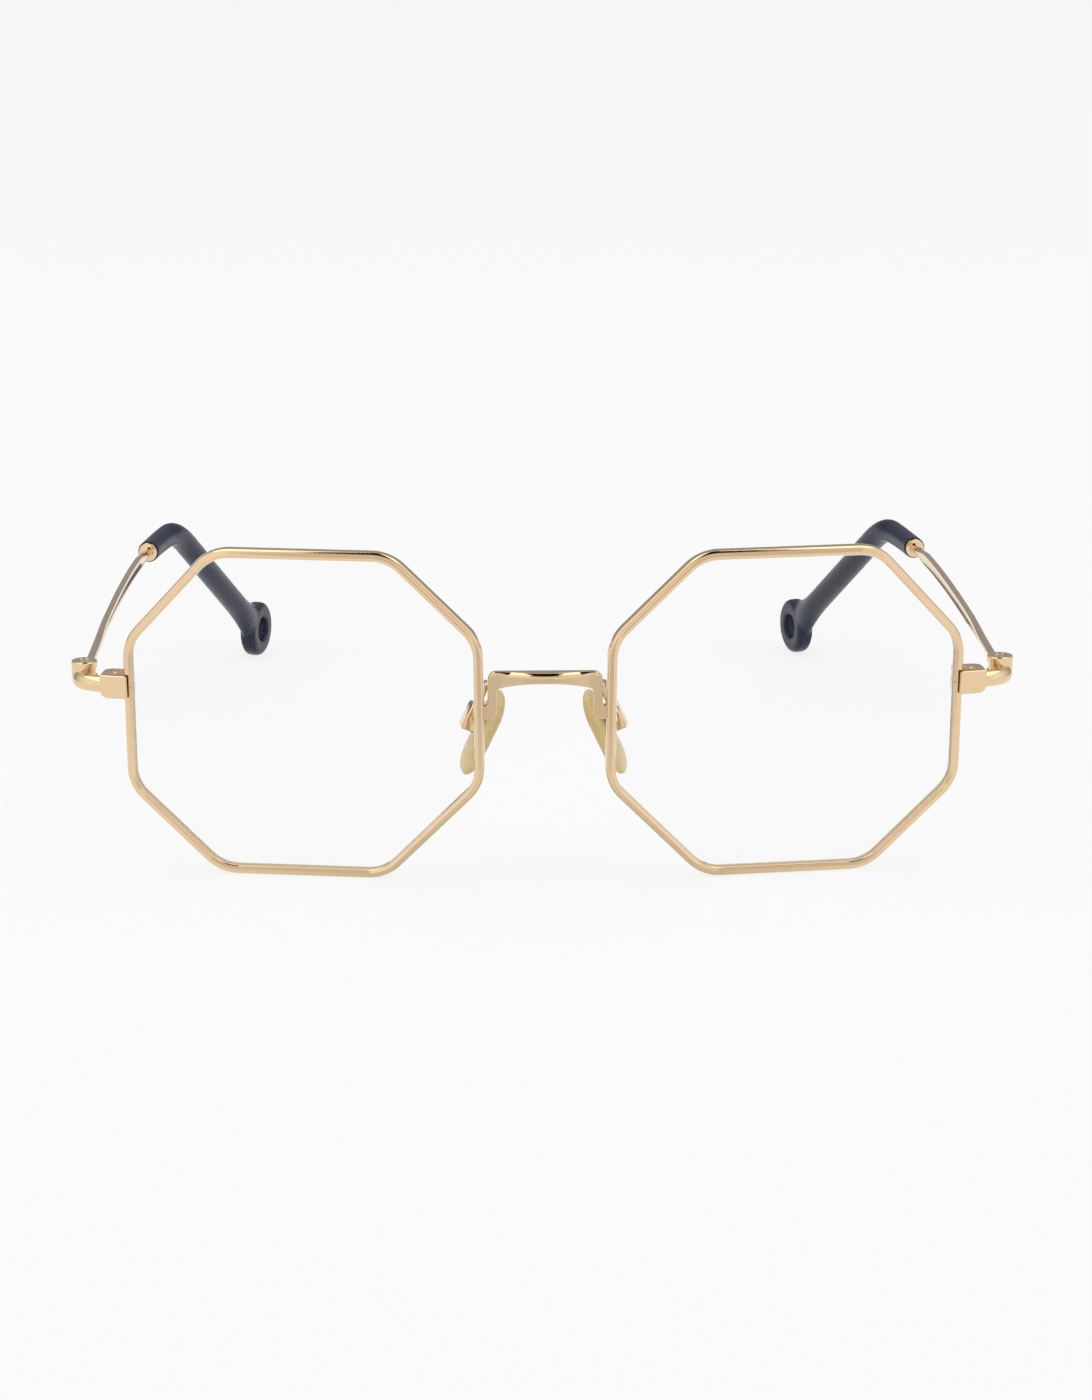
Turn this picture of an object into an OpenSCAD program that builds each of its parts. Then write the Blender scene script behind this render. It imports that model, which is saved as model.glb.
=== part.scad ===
// Full-rim octagonal wire spectacle frame, open, standing on its rims and its tips.
// +X is the wearer's left, +Y runs back along the temples, +Z is up. The origin lies on
// the table, under the middle of the frame's box.

/* [Rims] */
// Width of one rim over its outer faces
rim_w = 53.8; // [48:0.1:60]
// Height of one rim over its outer faces
rim_h = 51.2; // [46:0.1:58]
// Length of the top side, from corner to corner
top_len = 27; // [22:0.1:30]
// Length of the bottom side, from corner to corner
bottom_len = 25.4; // [22:0.1:30]
// How far the bottom side is shifted away from the nose
bottom_shift = 0.7; // [0:0.1:2]
// Length of the side at the nose
nasal_len = 22.7; // [18:0.1:26]
// Height of the middle of the side at the nose, over mid height
nasal_rise = 1; // [0:0.1:2]
// Length of the side at the temple
temporal_len = 23; // [18:0.1:26]
// How far the middle of the side at the temple lies under mid height
temporal_drop = 0.6; // [0:0.1:2]
// Outer radius of the eight corners
corner_r = 7; // [4:0.1:9]
// Width of the rim wire in the plane of the lens
wire_w = 1.35; // [1.2:0.05:1.8]
// Depth of the rim wire, front to back
wire_t = 2; // [1.8:0.05:2.6]
// Radius along the outer edges of the rim wire
wire_edge = 0.35; // [0.2:0.05:0.45]
// Distance between the two rims at the nose
nose_gap = 18.4; // [16:0.1:22]
// Angle by which each rim turns back towards its temple
wrap = 8; // [4:0.5:12]
// Angle by which the front leans forward at the top
lean = 5; // [2:0.5:8]

/* [Lenses] */
// Thickness of a lens
lens_t = 1.5; // [1.2:0.1:1.6]
// Depth of the groove that holds the lens
groove_d = 0.5; // [0.3:0.05:0.6]
// Width of the groove
groove_w = 0.8; // [0.6:0.05:1]
// Play of a lens in its rim
lens_play = 0.05; // [0.03:0.01:0.1]

/* [Bridge] */
// Gap between a leg and the rim beside it
leg_gap = 0.7; // [0.4:0.05:1.2]
// Height of the top of the bar over the rims' mid height
bridge_rise = 7.3; // [5.5:0.1:8.5]
// Height of the bridge, from the top of the bar down to the underside of its feet
bridge_h = 7.3; // [6:0.05:8]
// Height of the bar in the middle
bar_mid_h = 1.6; // [1:0.05:1.9]
// Height of the bar over the legs
bar_end_h = 2.95; // [2:0.05:3.3]
// Depth of the bar, front to back
bar_depth = 3; // [2:0.1:3.4]
// Radius of the two upper corners
bar_corner_r = 1.2; // [0.6:0.1:2]
// Width of a leg
leg_w = 1.4; // [1.2:0.05:2]
// Depth of a leg
leg_depth = 1.6; // [1:0.1:1.8]
// Height of the foot that is brazed to the rim
foot_h = 2.2; // [1.6:0.1:3]

/* [End pieces] */
// Height of the end piece over the rim's mid height
block_rise = 3.7; // [0:0.1:6]
// Length of the face plate outside the rim
plate_l = 3.65; // [3:0.05:5]
// How far the face plate laps over the rim
plate_lap = 0.55; // [0.3:0.05:0.8]
// Height of the face plate
plate_h = 3.6; // [3:0.1:4.5]
// How far the face plate stands proud of the rim
plate_proud = 0.4; // [0.2:0.05:0.6]
// Thickness of the face plate outside the rim
plate_t = 1.15; // [1:0.05:1.3]
// Radius of the face plate's outer lower corner
plate_r = 1.2; // [0.4:0.1:1.6]
// Angle by which the face plate sweeps back
plate_sweep = 15; // [8:1:20]
// Depth of the closing block behind the face plate
block_t = 2.35; // [2:0.05:3]
// Radius of the closing block's outer rear corner
block_r = 1.3; // [0.4:0.1:1.5]
// How far the closing block reaches behind the rim
block_lap = 0.95; // [0.8:0.05:1.5]
// Gap between the two halves of the closing block, and between the rim's ends
split_gap = 0.15; // [0.1:0.01:0.3]
// Diameter of the arm between the end piece and the hinge
arm_d = 2.5; // [2:0.05:2.6]

/* [Hinges] */
// How far the hinge axis stands outside the rim's outer front edge
hinge_out = 6.25; // [6.1:0.05:8]
// How far the hinge axis lies behind the rim's outer front edge
hinge_back = 6.85; // [6.5:0.05:9]
// Height of the middle of the hinge over the middle of the end piece
hinge_rise = 0.9; // [0.4:0.05:1]
// Diameter of the hinge barrel
barrel_d = 3.9; // [3.6:0.05:4.4]
// Height of the hinge barrel
barrel_h = 3.2; // [3:0.05:4]
// Height of the middle knuckle, which belongs to the temple
knuckle_h = 1.1; // [0.9:0.05:1.3]
// Diameter of the middle knuckle
knuckle_d = 3; // [2.6:0.05:3.2]
// Play between the knuckles, above and below
knuckle_play = 0.05; // [0.03:0.01:0.1]

/* [Screws] */
// Shank diameter of the hinge screws and the closing screws
screw_d = 1.1; // [1:0.05:1.2]
// Head diameter of the hinge screws and the closing screws
head_d = 1.75; // [1.6:0.05:1.9]
// Thickness of the screw heads
head_h = 0.4; // [0.3:0.05:0.5]
// Shank diameter of the pad screws
pad_screw_d = 0.9; // [0.8:0.05:1]
// Radial play of a screw in its hole
screw_play = 0.03; // [0.02:0.01:0.05]
// Width of the screw slots
slot_w = 0.3; // [0.2:0.05:0.4]

/* [Temples] */
// Distance from the hinge axis back to the mouth of the tip
temple_l = 80; // [70:0.5:90]
// How far the temple comes in over that length
temple_in = 4.95; // [3:0.05:7]
// Part of that length at which the temple has its bow
temple_bow = 0.78; // [0.6:0.01:0.85]
// Diameter of the temple wire at its two ends
temple_d = 1.45; // [1.2:0.05:1.6]
// Width of the flattened middle of the temple
flat_w = 1.15; // [0.9:0.05:1.3]
// Height of the flattened middle of the temple
flat_h = 2.15; // [1.8:0.05:2.4]
// Diameter of the core wire in the tip
core_d = 1.2; // [1:0.05:1.4]
// Part of the straight of the tip that the core wire reaches into
core_reach = 0.5; // [0.2:0.05:0.6]

/* [Ferrules and tips] */
// Diameter of the ferrule's cap
cap_d = 3.05; // [2.8:0.05:3.1]
// Length of the ferrule's cap
cap_l = 1.2; // [1:0.05:1.6]
// Diameter of the ferrule's collar
collar_d = 1.95; // [1.8:0.05:2.2]
// Length of the ferrule's collar
collar_l = 1; // [0.6:0.05:1.4]
// Diameter of the tip at its mouth
mouth_d = 3.55; // [3.5:0.05:3.8]
// Diameter of the tip past the bend
tip_d = 3.9; // [3.7:0.05:4.2]
// Distance from the mouth of the tip back to the bend
bend_l = 15; // [12:0.5:18]
// How far the tip comes in between its mouth and the bend
tip_in = 3.65; // [2:0.05:5]
// Horizontal distance from the bend back to the middle of the end disc
drop_l = 34.3; // [28:0.1:40]
// How far the tip comes in between the bend and the end disc
drop_in = 12.2; // [8:0.1:16]
// Diameter of the end disc
disc_d = 9.5; // [8.5:0.1:11]
// Thickness of the end disc
disc_t = 2.8; // [2.4:0.1:3.4]
// Diameter of the hole in the end disc
eyelet_d = 4.2; // [3.6:0.1:4.8]
// Play of the ferrule and the core wire in the tip
tip_play = 0.06; // [0.03:0.01:0.1]

/* [Nose pads] */
// Length of a nose pad
pad_l = 13.6; // [13:0.1:17]
// Width of a nose pad
pad_w = 7.2; // [6.6:0.1:8]
// Thickness of a nose pad
pad_t = 1.8; // [1.6:0.1:2.4]
// Radius of the corners of a nose pad
pad_r = 2.8; // [1.5:0.1:3.2]
// How far the middle of a pad stands outside the nose side of its rim
pad_out = 0; // [-0.5:0.05:1]
// How far the middle of a pad lies under the rims' mid height
pad_drop = 4.4; // [3.5:0.1:6]
// Distance of the middle of the pads behind the nose side of the rims
pad_y = 10.5; // [9.5:0.1:11.5]
// Angle of the pads as seen from the front
pad_tilt = 25.5; // [20:0.5:30]
// Angle by which the pads open towards the face
pad_splay = 10; // [6:1:22]
// Height of the pad box
box_l = 4.2; // [3.6:0.1:5]
// Thickness of the pad box
box_t = 2.1; // [2:0.05:2.4]
// Depth of the pad box
box_w = 2.6; // [2.4:0.1:3]
// Wall of the pad box
box_wall = 0.4; // [0.3:0.05:0.5]
// Diameter of the lug on the pad insert
lug_d = 1.6; // [1.5:0.05:1.7]
// Side play of the lug in the pad box
lug_play = 0.1; // [0.05:0.01:0.15]
// Height of the pad box over the middle of the pad
box_rise = 1.7; // [0:0.1:2.5]
// Free gap between the pad box and the back of the pad
box_gap = 0.6; // [0.5:0.05:1.5]
// Diameter of the wire of the pad arms
pad_wire_d = 0.9; // [0.8:0.05:1.1]
// Height of the pad arm's foot over the rim's mid height
arm_foot_rise = 2.4; // [1.5:0.1:4]
// How far the pad arm reaches back before it rises
arm_knee = 1.3; // [1:0.05:2]
// How far the crown of the pad arm rises over its foot
arm_crown = 1.6; // [1.2:0.1:3]

/* [Hidden] */
$fn = 48;

gold = "#dfc08a";
pale_gold = "#ecd3a2";
navy = "#262b44";
amber = "#d2c184";
clear = [0.85, 0.9, 0.92, 0.25];

// Vectors and curves
function unit(v) = v / norm(v);
function mid(a, b) = (a + b) / 2;
function flatten(lists) = [for (l = lists) for (v = l) v];
function bezier(a, b, c, n, last = 0) =
    [for (i = [0:n - 1 + last]) let (t = i / n) (1 - t) * (1 - t) * a + 2 * t * (1 - t) * b + t * t * c];
function arc(centre, r, from, to, n) =
    [for (i = [0:n]) let (a = from + (to - from) * i / n) centre + r * [cos(a), sin(a)]];

// Moves its children into a frame with the origin o and the axes x, y and z
module place(o, x, y, z) {
    multmatrix([[x[0], y[0], z[0], o[0]], [x[1], y[1], z[1], o[1]], [x[2], y[2], z[2], o[2]]])
        children();
}

// A solid skin over a row of rings, each with as many points. Both ends are capped with the
// faces in cap, or with one face round the whole ring.
module skin(rings, cap = []) {
    n = len(rings[0]);
    last = len(rings) - 1;
    walls = [for (i = [0:last - 1], k = [0:n - 1]) let (a = i * n + k, b = i * n + (k + 1) % n)
        each [[a, b + n, a + n], [a, b, b + n]]];
    end = len(cap) > 0 ? cap : [[for (k = [0:n - 1]) k]];
    start = [for (face = end) [for (k = [len(face) - 1:-1:0]) face[k]]];
    polyhedron(flatten(rings), concat(walls, start, [for (face = end) [for (k = face) last * n + k]]));
}

// A solid along a path. Section i reaches across[i] to the side and tall[i] upwards, and
// square[i] is 1 for an ellipse and less for a squarer section.
function bulge(v, p) = sign(v) * pow(abs(v), p);
module loft(path, across, tall, square, sides) {
    last = len(path) - 1;
    way = [for (i = [0:last]) unit(path[min(i + 1, last)] - path[max(i - 1, 0)])];
    skin([for (i = [0:last]) let (side = unit(cross(way[i], [0, 0, 1])), up = cross(side, way[i]))
        [for (k = [0:sides - 1]) let (a = 360 * (k + 0.5) / sides)
            path[i] + across[i] * bulge(cos(a), square[i]) * side + tall[i] * bulge(sin(a), square[i]) * up]]);
}
module wire(path, d, sides) {
    loft(path, [for (p = path) d / 2], [for (p = path) d / 2], [for (p = path) 1], sides);
}

// The rim's own frame: x away from the nose, y from front to back, z up the lens
rim_x = [cos(wrap), sin(wrap), 0];
rim_y = [-sin(wrap) * cos(lean), cos(wrap) * cos(lean), sin(lean)];
rim_z = [sin(wrap) * sin(lean), -cos(wrap) * sin(lean), cos(lean)];
rim_o = [nose_gap / 2 + rim_w / 2 * cos(wrap), rim_w / 2 * sin(wrap),
    rim_h / 2 * cos(lean) - wire_edge * sin(lean)];
function rim_at(x, y, z) = rim_o + x * rim_x + y * rim_y + z * rim_z;

// Sharp corners of the outer octagon, counter-clockwise from the lower temple corner
octagon = [[rim_w / 2, -temporal_drop - temporal_len / 2], [rim_w / 2, -temporal_drop + temporal_len / 2],
    [top_len / 2, rim_h / 2], [-top_len / 2, rim_h / 2],
    [-rim_w / 2, nasal_rise + nasal_len / 2], [-rim_w / 2, nasal_rise - nasal_len / 2],
    [bottom_shift - bottom_len / 2, -rim_h / 2], [bottom_shift + bottom_len / 2, -rim_h / 2]];
corners = len(octagon);
function corner(i) = octagon[(i + corners) % corners];
function side_way(i) = unit(corner(i + 1) - corner(i));
function side_angle(i) = atan2(side_way(i)[1], side_way(i)[0]);
function turn(i) = (side_angle(i) - side_angle(i - 1) + 720) % 360;
function inward(i) = [-side_way(i)[1], side_way(i)[0]];
function cut(i) = corner_r * tan(turn(i) / 2);
function corner_centre(i) = corner(i) + side_way(i) * cut(i) + inward(i) * corner_r;
corner_steps = 6;

// The rounded octagon, drawn in by a distance
module outline(inset) {
    polygon(flatten([for (i = [0:corners - 1])
        arc(corner_centre(i), corner_r - inset, side_angle(i - 1) - 90,
            side_angle(i - 1) - 90 + turn(i), corner_steps)]));
}

// Section of the rim wire: x grows outwards, y from front to back. Its ends are closed by the
// front lip of the groove, the web and the back lip.
edge_steps = 3;
function edge_arc(y, from) = arc([-wire_edge, y], wire_edge, from, from - 90, edge_steps);
groove_front = (wire_t - groove_w) / 2;
groove_back = wire_t - groove_front;
wire_section = concat(
    [[-wire_w, 0], [-wire_w, groove_front], [-wire_w + groove_d, groove_front],
     [-wire_w + groove_d, groove_back], [-wire_w, groove_back], [-wire_w, wire_t]],
    edge_arc(wire_t - wire_edge, 90), edge_arc(wire_edge, 0));
last_point = len(wire_section) - 1;
wire_cap = [[0, 1, 2, last_point], [2, 3, each [6:last_point]], [3, 4, 5, 6]];

// Frame of side i: x outwards, y to the back, z along the side
module on_side(i, at) {
    p = corner(i) + side_way(i) * at;
    d = side_way(i);
    place([p[0], 0, p[1]], [d[1], 0, -d[0]], [0, 1, 0], [d[0], 0, d[1]])
        children();
}
function side_len(i) = norm(corner(i + 1) - corner(i));

module in_rim_frame() {
    place(rim_o, rim_x, rim_y, rim_z) children();
}
// A flat plate with the rim's outline, from one depth to another
module rim_plate(inset, from, to) {
    in_rim_frame() place([0, to, 0], [1, 0, 0], [0, 0, 1], [0, -1, 0])
        linear_extrude(to - from) outline(inset);
}

// The rim is one bent wire. Its two ends face each other in the middle of the closing block.
split_at = block_rise - corner(0)[1];
function station(p, n) = [for (s = wire_section) [p[0] + s[0] * n[0], s[1], p[1] + s[0] * n[1]]];
function wire_end(at) = station(corner(0) + side_way(0) * at, -inward(0));
function wire_bend(i) = [for (k = [0:corner_steps])
    let (a = side_angle(i - 1) - 90 + turn(i) * k / corner_steps, n = [cos(a), sin(a)])
    station(corner_centre(i) + corner_r * n, n)];
rim_wire = concat([wire_end(split_at + split_gap / 2)],
    flatten([for (i = [1:corners]) wire_bend(i)]), [wire_end(split_at - split_gap / 2)]);
module rim() {
    color(gold) in_rim_frame() skin(rim_wire, wire_cap);
}
nasal_side = 4;
// The room that the rim takes up beside its outer face, for pieces that are brazed to it
module rim_room(front = 0) {
    in_rim_frame() translate([0, -front, -rim_h / 2]) cube([rim_w / 2, wire_t + front, rim_h]);
}

module lens() {
    middle = wire_t / 2;
    tongue = groove_w / 2 - lens_play;
    color(clear) union() {
        rim_plate(wire_w + lens_play, middle - lens_t / 2, middle + lens_t / 2);
        rim_plate(wire_w - groove_d + lens_play, middle - tongue, middle + tongue);
    }
}

// Extrudes a drawing of the front view along y, about a given depth
module front_view(y, depth) {
    translate([0, y + depth / 2, 0]) rotate([90, 0, 0]) linear_extrude(depth) children();
}
bridge_y = wire_t / 2;
half_bridge = nose_gap / 2 - leg_gap;
bridge_top = rim_o[2] + bridge_rise;
foot_z = bridge_top - bridge_h;
arch_half = half_bridge - leg_w / 2;
arch_rise = bar_end_h - bar_mid_h;
arch_r = (arch_half * arch_half + arch_rise * arch_rise) / (2 * arch_rise);
arch_angle = asin(arch_half / arch_r);
arch_z = bridge_top - bar_mid_h - arch_r;
foot_r = leg_w * 0.8;

module bridge_bar() {
    upper = bridge_top - bar_corner_r;
    side = half_bridge - bar_corner_r;
    front_view(bridge_y, bar_depth) polygon(concat(
        arc([side, upper], bar_corner_r, 0, 90, 6),
        arc([-side, upper], bar_corner_r, 90, 180, 6),
        [[-half_bridge, bridge_top - bar_end_h]],
        arc([0, arch_z], arch_r, 90 + arch_angle, 90 - arch_angle, 24),
        [[half_bridge, bridge_top - bar_end_h]]));
}
module bridge_leg() {
    inner = half_bridge - leg_w;
    reach = nose_gap / 2 + wire_edge;
    difference() {
        front_view(bridge_y, leg_depth) polygon(concat(
            arc([inner + foot_r, foot_z + foot_r], foot_r, 180, 270, 6),
            [[reach, foot_z], [reach, foot_z + foot_h]],
            arc([half_bridge + 0.2, foot_z + foot_h + 0.2], 0.2, 270, 180, 3),
            [[half_bridge, bridge_top - bar_mid_h], [inner, bridge_top - bar_mid_h]]));
        in_rim_frame() on_side(nasal_side, 0) linear_extrude(side_len(nasal_side)) polygon(wire_section);
    }
}
module bridge() {
    color(pale_gold) {
        bridge_bar();
        bridge_leg();
        mirror([1, 0, 0]) bridge_leg();
    }
}

// Frame of the end piece: x outwards along the face plate, y to the back, z up
block_x = [cos(plate_sweep), sin(plate_sweep), 0];
block_y = [-sin(plate_sweep) * cos(lean), cos(plate_sweep) * cos(lean), sin(lean)];
block_z = cross(block_x, block_y);
block_o = rim_at(rim_w / 2, 0, block_rise);
function block_at(x, y, z) = block_o + x * block_x + y * block_y + z * block_z;
module in_block_frame() {
    place(block_o, block_x, block_y, block_z) children();
}
plate_back = plate_t - plate_proud;
end_wall = 0.35;
block_end = plate_l - end_wall;
closing_x = plate_l * 0.41;
closing_y = plate_back + block_t / 2;
arm_y = plate_back + block_t * 0.25;
arm_z = -plate_h * 0.045;

// The screw's own frame: the head's top at z = 0, the shank down to z = -reach
module screw(d, head, thick, reach) {
    difference() {
        union() {
            translate([0, 0, -thick]) cylinder(d = head, h = thick);
            translate([0, 0, -reach]) cylinder(d = d, h = reach - thick / 2);
        }
        translate([-head, -slot_w / 2, -thick / 2]) cube([head * 2, slot_w, thick]);
    }
}
module screw_hole(d, head, thick, reach) {
    cylinder(d = d + 2 * screw_play, h = 4 * reach, center = true);
    translate([0, 0, -thick]) cylinder(d = head + 2 * screw_play, h = 2 * thick);
}
module at_closing_screw() {
    in_block_frame() translate([closing_x, closing_y, plate_h / 2]) children();
}

hinge_o = block_o + [hinge_out, hinge_back, hinge_rise];
slot_h = knuckle_h + 2 * knuckle_play;
slot_front = 0.8;
knuckle_room = 0.1;
module at_hinge_screw() {
    translate(hinge_o + [0, 0, barrel_h / 2]) children();
}

module face_plate() {
    r = 0.3;
    low = -plate_h / 2;
    high = plate_h / 2;
    drawing = concat(
        arc([-plate_lap + r, low + r], r, 180, 270, 3),
        arc([plate_l - plate_r, low + plate_r], plate_r, 270, 360, 6),
        arc([plate_l - r, high - r], r, 0, 90, 3),
        arc([-plate_lap + r, high - r], r, 90, 180, 3));
    difference() {
        in_block_frame() {
            translate([0, plate_back, 0]) rotate([90, 0, 0]) linear_extrude(plate_t) polygon(drawing);
            translate([block_end, plate_back - 0.1, low + plate_r])
                cube([end_wall, block_t * 0.85, plate_h - plate_r - r]);
        }
        rim_room();
    }
}
module arm() {
    start = block_at(plate_l - end_wall * 0.8, arm_y, arm_z);
    end = [hinge_o[0] + 0.5, hinge_o[1] - barrel_d / 2 + 0.45, start[2]];
    turn_y = start[1] + (end[0] - start[0]) * tan(plate_sweep);
    wire(bezier(start, [end[0], turn_y, start[2]], end, 8, 1), arm_d, 16);
}
module hinge_fork() {
    difference() {
        union() {
            translate(hinge_o) cylinder(d = barrel_d, h = barrel_h, center = true);
            arm();
        }
        translate(hinge_o) {
            cylinder(d = knuckle_d + 2 * knuckle_room, h = slot_h, center = true);
            translate([-barrel_d, -slot_front, -slot_h / 2]) cube([2 * barrel_d, 2 * barrel_d, slot_h]);
        }
        at_hinge_screw() screw_hole(screw_d, head_d, head_h, barrel_h);
    }
}
module end_piece() {
    color(pale_gold) {
        face_plate();
        hinge_fork();
    }
}

// One half of the closing block, from one height to another
module closing_half(length, from, to) {
    r = min(block_r, length / 2);
    difference() {
        in_block_frame() translate([0, plate_back, from]) linear_extrude(to - from)
            polygon(concat([[-block_lap, block_t], [-block_lap, 0], [length, 0]],
                arc([length - r, block_t - r], r, 0, 90, 6)));
        rim_room(block_t);
        at_closing_screw() screw_hole(screw_d, head_d, head_h, plate_h);
    }
}
module closing_block_upper() {
    color(gold) closing_half(block_end, split_gap / 2, plate_h / 2);
}
module closing_block_lower() {
    color(gold) closing_half(plate_l - plate_r, -plate_h / 2, -split_gap / 2);
}
module closing_screw() {
    color(pale_gold) at_closing_screw() screw(screw_d, head_d, head_h, plate_h - 0.2);
}
module hinge_screw() {
    color(pale_gold) at_hinge_screw() screw(screw_d, head_d, head_h, barrel_h);
}

// Frame of the nose pad: x towards the nose, y to the front, z up the pad
pad_up = [-sin(pad_tilt), 0, cos(pad_tilt)];
pad_flat = [-cos(pad_tilt), 0, -sin(pad_tilt)];
pad_face = pad_flat * cos(pad_splay) + [0, sin(pad_splay), 0];
pad_front = cross(pad_up, pad_face);
pad_o = [nose_gap / 2 + pad_out, pad_y, rim_o[2] - pad_drop];
function pad_at(x, y, z) = pad_o + x * pad_face + y * pad_front + z * pad_up;
module in_pad_frame() {
    place(pad_o, pad_face, pad_front, pad_up) children();
}
box_front = -pad_t / 2 - box_gap;
box_back = box_front - box_t;
pivot_x = box_front - (box_t - box_wall) / 2;
lug_w = box_w - 2 * box_wall - 2 * lug_play;
flange_d = 3;
flange_t = 0.6;
neck_h = lug_d * 0.7;

module at_pad_screw() {
    in_pad_frame() translate([pivot_x, box_w / 2, box_rise]) rotate([-90, 0, 0]) children();
}
module pad_box() {
    color(pale_gold) difference() {
        in_pad_frame() translate([box_back, -box_w / 2, box_rise - box_l / 2]) cube([box_t, box_w, box_l]);
        in_pad_frame() translate([box_back + box_wall, -box_w / 2 + box_wall, box_rise - box_l / 2 + box_wall])
            cube([box_t, box_w - 2 * box_wall, box_l - 2 * box_wall]);
        at_pad_screw() cylinder(d = pad_screw_d + 2 * screw_play, h = 4 * box_w, center = true);
    }
}
module pad_screw() {
    color(gold) at_pad_screw() translate([0, 0, head_h])
        screw(pad_screw_d, pad_screw_d * 1.6, head_h, box_w + head_h);
}
module pad_insert() {
    color(amber) difference() {
        in_pad_frame() {
            translate([pivot_x, 0, box_rise]) rotate([90, 0, 0]) cylinder(d = lug_d, h = lug_w, center = true);
            translate([pivot_x, -lug_w / 2, box_rise - neck_h / 2])
                cube([-pad_t / 2 + flange_t - pivot_x, lug_w, neck_h]);
            translate([-pad_t / 2, 0, box_rise]) rotate([0, 90, 0]) cylinder(d = flange_d, h = flange_t);
        }
        at_pad_screw() cylinder(d = pad_screw_d + 2 * screw_play, h = 4 * box_w, center = true);
    }
}
module nose_pad() {
    edge = pad_t / 2;
    y = pad_w / 2 - pad_r;
    z = pad_l / 2 - pad_r;
    color(amber) difference() {
        in_pad_frame() hull() for (corner = [[y, z], [-y, z], [y, -z], [-y, -z]]) {
            translate([0, corner[0], corner[1]]) rotate([0, 90, 0])
                rotate_extrude($fn = 32) intersection() {
                    translate([pad_r - edge, 0]) circle(edge, $fn = 16);
                    translate([0, -edge]) square([pad_r, pad_t]);
                }
        }
        in_pad_frame() translate([-pad_t / 2 - 1, 0, box_rise]) rotate([0, 90, 0])
            cylinder(d = flange_d, h = flange_t + 1);
    }
}
// The arm leaves the back of the rim, rises, goes back over its crown and comes down on the box
module pad_arm() {
    foot = rim_at(-rim_w / 2 + wire_w * 0.42, wire_t, arm_foot_rise);
    seat = pad_at(box_back + box_t / 2, 0, box_rise + box_l / 2);
    crown = [foot[0] - 0.3, mid(foot, seat)[1], foot[2] + arm_crown];
    knee = foot + [-0.1, arm_knee, arm_crown * 0.4];
    lead = seat + 0.8 * pad_up;
    over = lead + pad_up * (crown[2] - lead[2]) / pad_up[2];
    color(gold) wire(concat([foot], bezier(foot + 0.4 * rim_y, [foot[0], knee[1], foot[2]], knee, 4),
        bezier(knee, [knee[0], knee[1], crown[2]], crown, 5), bezier(crown, over, lead, 6, 1), [seat]),
        pad_wire_d, 10);
}

// The temple's middle line, from behind the hinge to the middle of the end disc
wire_start = hinge_o + [-0.35, barrel_d / 2 + 0.15, 0];
mouth = hinge_o + [-temple_in, temple_l, -0.15];
bow_point = wire_start + [(mouth[0] - wire_start[0]) * temple_bow * 0.48,
    (mouth[1] - wire_start[1]) * temple_bow, 0];
mouth_way = unit(mouth - bow_point);
bend = mouth + [-tip_in, bend_l, 0.3];
disc_o = [bend[0] - drop_in, bend[1] + drop_l, disc_d / 2];
drop_way = unit(disc_o - bend);
turn_in = mouth + mouth_way * bend_l * 0.61;
bend_start = mid(turn_in, bend);
bend_end = bend + 6 * drop_way;
drop_free = norm(disc_o - bend_end);
temple_line = bezier(wire_start, bow_point, mouth, 16);
tip_line = concat(bezier(mouth, turn_in, bend_start, 4), bezier(bend_start, bend, bend_end, 8, 1));
core_end = bend_end + drop_way * drop_free * core_reach;
disc_across = unit([drop_way[1], -drop_way[0], 0]);
disc_edge = disc_t * 0.32;

// Frame at the mouth of the tip: z along the temple, to the back
mouth_side = unit(cross(mouth_way, [0, 0, 1]));
module at_mouth() {
    place(mouth, mouth_side, cross(mouth_way, mouth_side), mouth_way) children();
}

function ease(t) = let (u = max(0, min(1, t))) u * u * (3 - 2 * u);
function flatness(i) = let (t = i / len(temple_line)) ease((t - 0.1) / 0.14) * ease((0.92 - t) / 0.14);
function blend(a, b, f) = a + (b - a) * f;

module temple() {
    wire_n = len(temple_line);
    tail = concat(tip_line, [core_end]);
    line = concat(temple_line, tail);
    flat = concat([for (i = [0:wire_n - 1]) flatness(i)], [for (p = tail) 0]);
    d = concat([for (i = [0:wire_n]) temple_d],
        [for (i = [1:len(tail) - 1]) blend(temple_d, core_d, min(1, i / 4))]);
    n = len(line) - 1;
    color(gold) {
        loft(line, [for (i = [0:n]) blend(d[i], flat_w, flat[i]) / 2],
            [for (i = [0:n]) blend(d[i], flat_h, flat[i]) / 2],
            [for (i = [0:n]) 1 - 0.5 * flat[i]], 12);
        difference() {
            union() {
                translate(hinge_o) cylinder(d = knuckle_d, h = knuckle_h, center = true);
                translate(hinge_o + [-0.35 - temple_d * 0.4, 0, -knuckle_h / 2])
                    cube([temple_d * 0.8, barrel_d / 2 + 0.4, knuckle_h]);
            }
            at_hinge_screw() cylinder(d = screw_d + 2 * screw_play, h = 4 * barrel_h, center = true);
        }
    }
}
module ferrule() {
    color(pale_gold) difference() {
        at_mouth() {
            translate([0, 0, -0.1]) cylinder(d = cap_d, h = cap_l + 0.1);
            translate([0, 0, -0.1 - collar_l]) cylinder(d = collar_d, h = collar_l + 0.2);
        }
        at_mouth() cylinder(d = temple_d + 2 * tip_play, h = 4 * (cap_l + collar_l), center = true);
    }
}
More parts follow.
